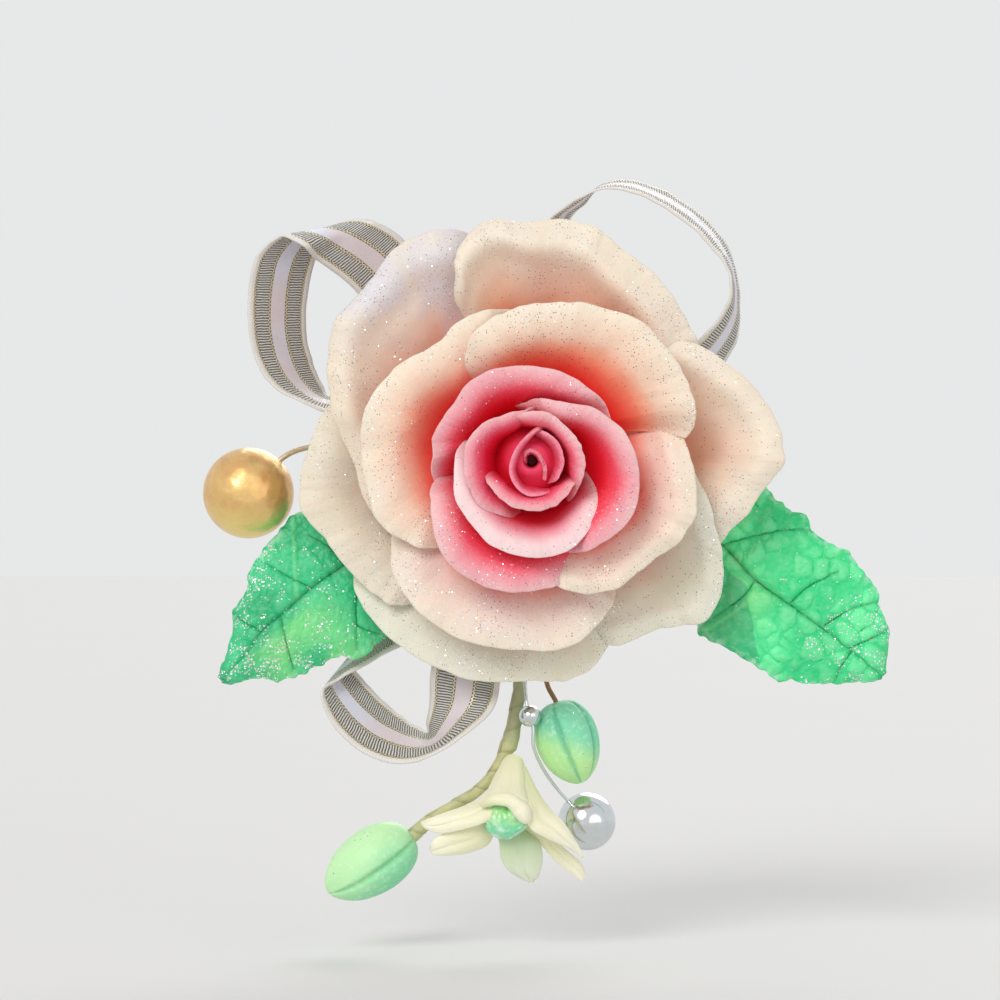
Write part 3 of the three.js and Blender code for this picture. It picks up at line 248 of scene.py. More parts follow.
def turned(profile, start, way, around, down, detail=None):
    """A closed form turned round a way. detail(turn, along) scales the radius at a place.

    A turn of 0.25 faces the front, unless the way itself runs to the front.
    """
    outline = smooth_line([(radius, height, 0) for radius, height in profile])
    way = way.normalized()
    side = way.cross(FORWARD)
    side = side.normalized() if side.length > 0.01 else Vector((1, 0, 0))
    front = side.cross(way)

    def place(turn, along):
        radius, height, _ = outline(along)
        radius *= detail(turn, along) if detail else 1
        angle = TURN * turn
        return start + way * height + (side * math.cos(angle) + front * math.sin(angle)) * radius

    return grid(place, around, down, closed=True)


def finished(node, edge, material, slot, body="flower"):
    """A copy of a CAD node with its corners softened, which stands for it."""
    bm = bmesh.new()
    bm.from_mesh(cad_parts[node].data)
    bmesh.ops.remove_doubles(bm, verts=bm.verts, dist=1e-6)
    bmesh.ops.dissolve_limit(bm, angle_limit=DEGREE, verts=bm.verts, edges=bm.edges)
    corners = [
        corner
        for corner in bm.edges
        if corner.is_manifold and corner.calc_face_angle() > 30 * DEGREE
    ]
    bmesh.ops.bevel(
        bm,
        geom=corners,
        offset=edge * MM,
        offset_type="OFFSET",
        affect="EDGES",
        segments=2,
        profile=0.5,
        material=-1,
        clamp_overlap=True,
    )
    made = piece(node + "_finished", bm, material, slot, body, [node])
    made.data.set_sharp_from_angle(angle=40 * DEGREE)
    return made


# Shader nodes

FLAKE_TILT = 1.3


def rgb(red, green, blue):
    """A colour as a screen shows it, 0 to 255, in the light-linear form that nodes take."""
    shares = [channel / 255 for channel in (red, green, blue)]
    return tuple(s / 12.92 if s < 0.0405 else ((s + 0.055) / 1.055) ** 2.4 for s in shares)


def fade(*stops):
    """Stops of a colour ramp: each a share, then a screen colour's three numbers or a setting."""
    return [(share, rgb(*colour) if len(colour) == 3 else colour[0]) for share, *colour in stops]


class Value:
    """An output socket on which Python arithmetic adds Math nodes."""

    def __init__(self, nodes, socket):
        self.nodes = nodes
        self.socket = socket

    def math(self, operation, *values):
        return self.nodes.node("Math", {"operation": operation}, dict(enumerate(values)))[0]

    def __add__(self, other):
        return self.math("ADD", self, other)

    def __radd__(self, other):
        return self.math("ADD", other, self)

    def __sub__(self, other):
        return self.math("SUBTRACT", self, other)

    def __rsub__(self, other):
        return self.math("SUBTRACT", other, self)

    def __mul__(self, other):
        return self.math("MULTIPLY", self, other)

    def __rmul__(self, other):
        return self.math("MULTIPLY", other, self)

    def __lt__(self, other):
        return self.math("LESS_THAN", self, other)

    def __gt__(self, other):
        return self.math("GREATER_THAN", self, other)

    def wave(self):
        return self.math("SINE", self)

    def size(self):
        return self.math("ABSOLUTE", self)

    def least(self, other):
        return self.math("MINIMUM", self, other)

    def most(self, other):
        return self.math("MAXIMUM", self, other)


class Outputs:
    """The outputs of one node, by name or number."""

    def __init__(self, nodes, node):
        self.nodes = nodes
        self.node = node

    def __getitem__(self, key):
        return Value(self.nodes, self.nodes.find(self.node.outputs, key))


class Nodes:
    """A node tree of a material or of the world, and the method that makes its nodes."""

    def __init__(self, tree):
        self.tree = tree

    @staticmethod
    def find(sockets, key):
        if isinstance(key, int):
            return sockets[key]
        return next((s for s in sockets if s.identifier == key), None) or sockets[key]

    def node(self, kind, settings=None, inputs=None):
        made = self.tree.nodes.new("ShaderNode" + kind)
        for key, value in (settings or {}).items():
            if key == "stops":
                ramp = made.color_ramp
                while len(ramp.elements) < len(value):
                    ramp.elements.new(1)
                for element, (position, colour) in zip(ramp.elements, value):
                    element.position = position
                    element.color = (*colour, 1)
            else:
                setattr(made, key, value)
        for key, value in (inputs or {}).items():
            self.feed(self.find(made.inputs, key), value)
        return Outputs(self, made)

    def feed(self, socket, value):
        if isinstance(value, Value):
            self.tree.links.new(value.socket, socket)
        elif socket.type == "RGBA":
            socket.default_value = (*value[:3], 1)
        else:
            socket.default_value = value


class Shader(Nodes):
    """A material whose Principled shader is fed by nodes made here."""

    def __init__(self, name):
        self.material = bpy.data.materials.new(name)
        self.material.use_nodes = True
        super().__init__(self.material.node_tree)
        self.surface = self.tree.nodes["Principled BSDF"]
        self.mm = self.vector("SCALE", self.node("TexCoord")["Object"], scale=1 / MM)

    def set(self, **values):
        """Feeds the Principled shader. An underscore in a name stands for a space."""
        for key, value in values.items():
            self.feed(self.surface.inputs[key.replace("_", " ")], value)
        return self.material

    def vector(self, operation, *values, scale=None):
        inputs = dict(enumerate(values))
        if scale is not None:
            inputs["Scale"] = scale
        return self.node("VectorMath", {"operation": operation}, inputs)["Vector"]

    def mix(self, factor, start, end):
        inputs = {"Factor_Float": factor, "A_Color": start, "B_Color": end}
        return self.node("Mix", {"data_type": "RGBA"}, inputs)["Result_Color"]

    def mix_ways(self, factor, start, end):
        inputs = {"Factor_Float": factor, "A_Vector": start, "B_Vector": end}
        return self.node("Mix", {"data_type": "VECTOR"}, inputs)["Result_Vector"]

    def ramp(self, factor, stops):
        return self.node("ValToRGB", {"stops": stops}, {"Fac": factor})["Color"]

    def step(self, value, low, high):
        """Eases from 0 at low to 1 at high."""
        inputs = {"Value": value, "From Min": low, "From Max": high}
        return self.node("MapRange", {"interpolation_type": "SMOOTHSTEP"}, inputs)["Result"]

    def clouds(self, size, detail=2.0, place=None, stretch=(1, 1, 1)):
        """Noise from 0 to 1 whose clouds are about size millimetres across."""
        where = self.mm if place is None else place
        if stretch != (1, 1, 1):
            where = self.node("Mapping", None, {"Vector": where, "Scale": stretch})["Vector"]
        inputs = {"Vector": where, "Scale": 1 / size, "Detail": detail}
        return self.node("TexNoise", None, inputs)["Fac"]

    def lanes(self, across, along, layer=0.0):
        """Places for clouds that are drawn out along a piece. Another layer gives other clouds."""
        return self.node("CombineXYZ", None, {"X": across, "Y": along, "Z": layer})["Vector"]

    def cells(self, size, feature="F1"):
        """Cells about size millimetres across."""
        inputs = {"Vector": self.mm, "Scale": 1 / size}
        return self.node("TexVoronoi", {"feature": feature}, inputs)

    def parts(self, vector):
        split = self.node("SeparateXYZ", None, {"Vector": vector})
        return split["X"], split["Y"], split["Z"]

    def uv(self):
        across, along, _ = self.parts(self.node("UVMap")["UV"])
        return across, along

    def attribute(self, name):
        return self.node("Attribute", {"attribute_name": name})["Fac"]

    def bump(self, height, depth, under=None):
        """A bump whose height of 1 stands depth millimetres proud."""
        inputs = {"Height": height, "Distance": depth * MM, "Strength": 1.0}
        if under is not None:
            inputs["Normal"] = under
        return self.node("Bump", None, inputs)["Normal"]

    def glitter(self, size, share, under, radii=(0.17, 0.13)):
        """Flakes in cells of a size: where they lie, how bright each is, and their tilted normals.

        radii holds the smallest radius in shares of a cell, and how much the brightest one adds.
        """
        cells = self.cells(size)
        pick, tone, _ = self.parts(cells["Color"])
        radius = radii[0] + radii[1] * tone
        flakes = (cells["Distance"] < radius) * (pick < share)
        lean = self.vector("SUBTRACT", cells["Color"], (0.5, 0.5, 0.5))
        tilted = self.vector("ADD", under, self.vector("SCALE", lean, scale=FLAKE_TILT))
        normal = self.mix_ways(flakes, under, self.vector("NORMALIZE", tilted))
        return flakes, tone, normal


# Finishes


def clay_finish(name, stops, glitter, veil, dark, powdered):
    """Air-dry clay that fades from its foot to its rim, dusted with fine glitter.

    veil holds how deep a frost lies on it and between which two heights it starts. dark is the
    share of the flakes that look dark, powdered how white the rim is.
    """
    shader = Shader(name)
    across, along = shader.uv()
    mottle = shader.clouds(7, 3)
    reach = along + (mottle - 0.5) * 0.16
    colour = shader.ramp(reach, stops)
    streaks = shader.clouds(1, 3, shader.lanes(across * 46, along * 2.4))
    colour = shader.mix(shader.step(streaks, 0.42, 0.75) * 0.06, colour, stops[0][1])
    rim = shader.step(along, 0.35, 0.95)
    pale = shader.clouds(16, 2)
    colour = shader.mix(shader.step(pale, 0.45, 0.7) * rim * 0.2, colour, rgb(255, 246, 236))
    powder = shader.step(shader.clouds(0.35, 5), 0.36, 0.7)
    colour = shader.mix(powder * rim * powdered, colour, rgb(250, 236, 230))
    if veil:
        depth, low, high = veil
        up = shader.parts(shader.mm)[2] + (mottle - 0.5) * 8
        frost = shader.step(shader.clouds(9, 4), 0.3, 0.6) * shader.step(up, low, high)
        colour = shader.mix(frost * depth, colour, rgb(214, 216, 228))
    normal = shader.bump(shader.clouds(0.45, 4), 0.05)
    normal = shader.bump(streaks, 0.1, normal)
    folds = shader.clouds(1, 2, shader.lanes(across * 24, along * 1.5, 4.0))
    normal = shader.bump(folds * rim, 0.35, normal)
    patches = shader.step(shader.clouds(9, 3), 0.42, 0.66)
    share = (0.12 + 0.88 * rim) * (0.3 + 1.7 * patches) * (glitter * 1.5)
    flakes, tone, normal = shader.glitter(0.42, share, normal)
    flake_tones = fade(
        (0, 84, 72, 62), (dark - 0.08, 140, 126, 114), (dark, 238, 236, 240), (1, 255, 255, 255)
    )
    colour = shader.mix(flakes, colour, shader.ramp(tone, flake_tones))
    return shader.set(
        Base_Color=colour,
        Roughness=0.55 - 0.35 * flakes,
        Metallic=flakes * 0.6,
        Normal=normal,
        Subsurface_Weight=0.2,
        Subsurface_Radius=(1.0, 0.42, 0.28),
        Subsurface_Scale=0.002,
        Specular_IOR_Level=0.4,
    )


def plain_clay_finish():
    """The undusted clay of the base, with finger marks."""
    shader = Shader("plain_clay")
    marks = shader.clouds(2.4, 3, stretch=(1, 0.4, 1))
    colour = shader.mix(shader.step(marks, 0.35, 0.7), rgb(216, 196, 178), rgb(238, 224, 208))
    ridges = (shader.clouds(0.5, 1, stretch=(1, 3, 1)) * 14).wave()
    normal = shader.bump(marks, 0.35)
    normal = shader.bump(ridges, 0.02, normal)
    return shader.set(Base_Color=colour, Roughness=0.62, Normal=normal)


def heart_finish():
    """The deep red clay inside the rose's heart, with painted shade in the pit at its top."""
    shader = Shader("heart_clay")
    marks = shader.clouds(1.8, 3)
    _, along = shader.uv()
    crimson = shader.mix(marks, rgb(214, 6, 38), rgb(224, 20, 56))
    pink = shader.mix(marks, rgb(226, 44, 84), rgb(236, 70, 106))
    colour = shader.mix(shader.step(along, 0.45, 0.62), crimson, pink)
    # Painted shade: nearly black-red down in the pit at the cone's top.
    colour = shader.mix(shader.step(along, 0.8, 0.86), colour, rgb(120, 4, 30))
    return shader.set(Base_Color=colour, Roughness=0.6, Normal=shader.bump(marks, 0.2))


def leaf_finish(name, tones, vein_shade_colour, glitter_from, lime_span, lime_side, net_shade):
    """Green clay with painted shade in its pressed veins, a painted highlight on its puffs, paler
    creases and glitter towards the tip.

    Lime lies over a span along the leaf, on the side whose sign is given. The last argument is how
    dark the painted shade is in the sunk lines between the puffs.
    """
    shader = Shader(name)
    across, along = shader.uv()
    vein = shader.attribute("vein")
    puff = shader.attribute("puff")
    deep, bright, pale = tones
    patches = shader.step(shader.clouds(13, 3), 0.38, 0.6)
    colour = shader.mix(patches, deep, bright)
    low, high = lime_span
    started = shader.step(along, low - 0.12, low + 0.12)
    ended = shader.step(along, high - 0.1, high + 0.1)
    span = started * (1 - ended) * shader.step((across - 0.5) * lime_side, -0.06, 0.08)
    limes = shader.step(shader.clouds(15, 2, stretch=(1, 1, 1.3)), 0.34, 0.48) * span
    colour = shader.mix(limes * 0.6, colour, rgb(146, 238, 140))
    # Painted highlight: paler on the raised puffs.
    colour = shader.mix(shader.step(puff, 0.1, 1.0) * 0.3, colour, pale)
    # Painted shade in the sunk lines between the puffs.
    colour = shader.mix((1 - shader.step(puff, 0.0, 0.3)) * net_shade, colour, deep)
    colour = shader.mix(shader.attribute("patch") * 0.75, colour, rgb(44, 176, 116))
    colour = shader.mix(shader.attribute("crease") * 0.3, colour, rgb(150, 240, 150))
    # Painted shade in the pressed grooves of the veins.
    colour = shader.mix(vein * 0.9, colour, vein_shade_colour)
    cracks = shader.cells(1.25, "DISTANCE_TO_EDGE")["Distance"]
    edge = shader.step((across - 0.5).size() * 2, 0.86, 1.0)
    dust = shader.step(shader.clouds(1.1, 4), 0.42, 0.66)
    # Pale dust at random, laid thicker along the margins, where it is also a painted highlight on
    # the edges.
    colour = shader.mix((edge * 0.4 + 0.08) * dust, colour, rgb(206, 244, 216))
    normal = shader.bump(shader.step(cracks, 0.0, 0.35), 0.08)
    normal = shader.bump(shader.clouds(0.5, 4), 0.07, normal)
    zone = shader.step(along + (shader.clouds(6, 2) - 0.5) * 0.5, *glitter_from)
    clumps = shader.step(shader.clouds(3.2, 3), 0.46, 0.58)
    share = 0.02 + zone * (0.06 + 0.94 * clumps)
    flakes, tone, normal = shader.glitter(0.38, share, normal, (0.26, 0.24))
    flake_tones = fade(
        (0, 206, 236, 224), (0.3, 240, 244, 248), (0.7, 250, 246, 238), (1, 255, 255, 255)
    )
    colour = shader.mix(flakes, colour, shader.ramp(tone, flake_tones))
    return shader.set(
        Base_Color=colour,
        Roughness=0.46 - 0.26 * flakes,
        Metallic=flakes * 0.25,
        Normal=normal,
        Subsurface_Weight=0.08,
        Subsurface_Radius=(0.3, 1.0, 0.5),
        Subsurface_Scale=0.001,
    )


# The ribbon's bands and lines of gold chain stitch, in shares of its width from the edge.
DARK_BAND = 0.084
GREY_BAND = 0.122
INNER_DARK_BAND = 0.33
SATIN_BAND = 0.378
OUTER_CHAIN = 0.1
INNER_CHAIN = 0.352
# The length in millimetres that a V of 1 stands for, and the length of a chain stitch.
V_LENGTH = 100
CHAIN_PITCH = 0.62
SATIN_LINES = 60


def ribbon_finish(settings):
    """Striped ribbon: pale selvage, gold thread, ribbed grey bands and a satin middle."""
    shader = Shader("striped_ribbon")
    across, along = shader.uv()
    ways = along * V_LENGTH
    from_edge = across.least(1 - across)
    wobble = shader.clouds(1.1, 2) * 0.25 + across * 0.3
    ribs = ((ways + wobble) * (TURN / settings.rib_pitch)).wave()
    rib = shader.step(ribs, -0.5, 0.35)
    silver = shader.mix(shader.clouds(0.4, 2), rgb(240, 239, 232), rgb(198, 196, 190))
    banded = shader.mix(rib, settings.grey, silver)
    chain = (ways * (TURN / CHAIN_PITCH)).wave() * 0.011
    outer_chain = (from_edge - OUTER_CHAIN - chain).size() < 0.011
    inner_chain = (from_edge - INNER_CHAIN - chain).size() < 0.013
    chains = outer_chain.most(inner_chain)
    lines = (across * (TURN * SATIN_LINES)).wave() * 0.5 + 0.5
    tinge = shader.step(shader.clouds(14, 1), 0.4, 0.62)
    satin = shader.mix(tinge, settings.satin, rgb(226, 212, 214))
    satin = shader.mix(lines * 0.2, satin, rgb(190, 190, 204))
    pale = shader.mix(rib * 0.25, rgb(232, 228, 222), rgb(206, 200, 196))
    dark = shader.mix(rib * 0.3, rgb(92, 86, 82), silver)
    in_bands = from_edge > DARK_BAND
    in_satin = from_edge > SATIN_BAND
    colour = shader.mix(in_bands, pale, dark)
    colour = shader.mix(from_edge > GREY_BAND, colour, banded)
    colour = shader.mix(from_edge > INNER_DARK_BAND, colour, dark)
    colour = shader.mix(in_satin, colour, satin)
    colour = shader.mix(chains, colour, settings.gold)
    height = rib * (1 - 0.9 * in_satin) * in_bands + chains * 0.8
    return shader.set(
        Base_Color=colour,
        Roughness=0.55 - 0.25 * chains - 0.15 * in_satin,
        Metallic=chains * 0.4,
        Normal=shader.bump(height + lines * 0.1, 0.1),
        Sheen_Weight=0.2,
        Sheen_Roughness=0.4,
    )


# Heights in millimetres between which a painted reflection turns the pearl's foot pale yellow, and
# the drop's tip green.
PEARL_FOOT_REFLECTION = (-11.5, -5.5)
DROP_TIP = (-59.5, -57)


def gold_finish(settings):
    """Gold lacquer over a plastic bead, slightly uneven, with painted shade in orange-brown patches
    and a painted reflection paling its foot.
    """
    shader = Shader("gold_lacquer")
    uneven = shader.clouds(1.6, 3)
    specks = shader.cells(0.5)["Distance"]
    colour = shader.mix(uneven, settings.gold, rgb(244, 208, 142))
    colour = shader.mix(shader.step(specks, 0.0, 0.3) * 0.5 + 0.5, rgb(206, 158, 92), colour)
    # Painted shade in orange-brown patches at random over the bead.
    orange_shade_patches = shader.step(shader.clouds(3.2, 3), 0.5, 0.62)
    colour = shader.mix(orange_shade_patches * 0.35, colour, rgb(214, 146, 92))
    _, _, up = shader.parts(shader.mm)
    # Painted reflection: pale yellow towards the pearl's foot.
    colour = shader.mix((1 - shader.step(up, *PEARL_FOOT_REFLECTION)) * 0.6, colour, rgb(250, 232, 150))
    normal = shader.bump(shader.clouds(3.5, 1), 0.5)
    normal = shader.bump(shader.clouds(0.8, 3), 0.04, normal)
    return shader.set(
        Base_Color=colour,
        Roughness=0.3 + uneven * 0.12,
        Metallic=0.82,
        Normal=shader.bump(specks, 0.01, normal),
        Coat_Weight=0.35,
        Coat_Roughness=0.12,
    )


def silver_finish(name, roughness):
    """Silver plating, hazy and finely scratched."""
    shader = Shader(name)
    haze = shader.clouds(1.2, 4)
    scratches = shader.clouds(0.25, 2, stretch=(1, 1, 7))
    colour = shader.mix(haze * 0.6, rgb(226, 231, 232), rgb(192, 197, 200))
    return shader.set(
        Base_Color=colour,
        Roughness=roughness + 0.1 * shader.step(haze, 0.4, 0.8),
        Metallic=1.0,
        Normal=shader.bump(scratches, 0.004),
    )


def wire_finish(name, pale, dark, metallic, roughness):
    """Wire that thin paper or lacquer covers, wound round it."""
    shader = Shader(name)
    wound = shader.clouds(0.5, 3)
    return shader.set(
        Base_Color=shader.mix(wound, dark, pale),
        Roughness=roughness,
        Metallic=metallic,
        Normal=shader.bump(wound, 0.05),
    )


def tape_finish(settings):
    """Waxed floral tape, wound and stretched round the stem."""
    shader = Shader("floral_tape")
    wound = shader.attribute("wound")
    crepe = shader.clouds(0.35, 3)
    age = shader.step(shader.clouds(3.5, 3), 0.35, 0.7)
    _, along = shader.uv()
    colour = shader.mix(age, settings.tape, rgb(206, 200, 140))
    colour = shader.mix((1 - shader.step(along, 0.36, 0.5)) * 0.6, colour, rgb(142, 140, 108))
    colour = shader.mix(shader.step(wound, 0.72, 1.0) * 0.5, colour, rgb(112, 114, 66))
    colour = shader.mix(crepe * 0.35, colour, rgb(226, 226, 190))
    return shader.set(Base_Color=colour, Roughness=0.5, Normal=shader.bump(crepe, 0.08))


def bud_finish(name, first, second, groove, slant):
    """Green clay bud, darkened by painted shade in its folds, that changes colour down a slant.

    slant holds a place in millimetres, right and up, and how fast the second colour comes in
    rightward and upward of it.
    """
    shader = Shader(name)
    stray = (shader.clouds(5, 2) - 0.5) * 5.4
    x, _, z = shader.parts(shader.mm)
    right, up, rightward, upward = slant
    share = shader.step((x - right) * rightward + (z - up) * upward + stray, -4, 9)
    colour = shader.mix(share, first, second)
    # Painted shade: the folds take the darker groove colour.
    colour = shader.mix(shader.attribute("fold") * 0.6, colour, groove)
    dust = shader.step(shader.clouds(0.8, 4), 0.5, 0.72)
    colour = shader.mix(dust * 0.35, colour, rgb(228, 250, 226))
    normal = shader.bump(shader.clouds(0.7, 4), 0.08)
    flakes, _, normal = shader.glitter(0.5, 0.05, normal)
    colour = shader.mix(flakes, colour, rgb(235, 244, 240))
    return shader.set(
        Base_Color=colour,
        Roughness=0.42 - 0.2 * flakes,
        Metallic=flakes * 0.8,
        Normal=normal,
        Subsurface_Weight=0.12,
        Subsurface_Radius=(0.5, 1.0, 0.6),
        Subsurface_Scale=0.0014,
    )


def blossom_finish(name, root, tip):
    """Cream clay with fine lines down each petal."""
    shader = Shader(name)
    across, along = shader.uv()
    lines = shader.clouds(1, 3, shader.lanes(across * 22, along * 1.6))
    colour = shader.mix(shader.step(along, 0.05, 0.75), root, tip)
    colour = shader.mix(shader.step(lines, 0.45, 0.72) * 0.35, colour, root)
    normal = shader.bump(lines, 0.14)
    normal = shader.bump(shader.clouds(0.45, 3), 0.03, normal)
    return shader.set(
        Base_Color=colour,
        Roughness=0.5,
        Normal=normal,
        Subsurface_Weight=0.15,
        Subsurface_Radius=(1.0, 0.8, 0.45),
        Subsurface_Scale=0.0014,
    )


def drop_finish():
    """Clear green resin in the blossom's cup."""
    shader = Shader("green_resin")
    swirl = shader.clouds(1.5, 3)
    colour = shader.mix(shader.step(swirl, 0.35, 0.65), rgb(126, 226, 172), rgb(208, 250, 222))
    _, _, up = shader.parts(shader.mm)
    colour = shader.mix(shader.step(up, *DROP_TIP) * 0.6, colour, rgb(166, 224, 120))
    return shader.set(
        Base_Color=colour,
        Roughness=0.16,
        Normal=shader.bump(shader.clouds(1.1, 2), 0.18),
        Subsurface_Weight=0.3,
        Subsurface_Radius=(0.4, 1.0, 0.7),
        Subsurface_Scale=0.002,
        Coat_Weight=0.6,
        Coat_Roughness=0.06,
    )


def felt_finish(settings):
    """Pressed wool felt."""
    shader = Shader("wool_felt")
    fibres = shader.clouds(0.5, 5, stretch=(1, 1, 4))
    cross = shader.clouds(0.5, 5, stretch=(4, 1, 1))
    tangle = fibres.most(cross)
    colour = shader.mix(shader.step(tangle, 0.4, 0.75), settings.felt, rgb(250, 246, 238))
    pilling = shader.step(shader.clouds(2.5, 3), 0.5, 0.75)
    colour = shader.mix(pilling * 0.25, colour, rgb(206, 198, 186))
    return shader.set(
        Base_Color=colour,
        Roughness=0.92,
        Normal=shader.bump(tangle, 0.22),
        Sheen_Weight=0.4,
        Sheen_Roughness=0.5,
    )


def steel_finish():
    """Nickel-plated sheet steel with fine brushing and wear."""
    shader = Shader("plated_steel")
    brushed = shader.clouds(0.12, 2, stretch=(0.06, 1, 1))
    wear = shader.step(shader.clouds(2.2, 5), 0.55, 0.75)
    colour = shader.mix(brushed * 0.5, rgb(206, 206, 202), rgb(170, 170, 168))
    colour = shader.mix(wear * 0.4, colour, rgb(150, 144, 134))
    return shader.set(
        Base_Color=colour,
        Roughness=0.24 + 0.14 * brushed + 0.12 * wear,
        Metallic=1.0,
        Normal=shader.bump(brushed, 0.006),
    )


def thread_finish():
    """Twisted sewing thread, with painted shade in the grooves of its twist."""
    shader = Shader("sewing_thread")
    _, along = shader.uv()
    twist = (along * 180).wave()
    # Painted shade: darker in the grooves of the twist, paler on its ridges.
    colour = shader.mix(twist * 0.5 + 0.5, rgb(214, 206, 194), rgb(244, 240, 232))
    return shader.set(Base_Color=colour, Roughness=0.7, Normal=shader.bump(twist, 0.06))


# Rose

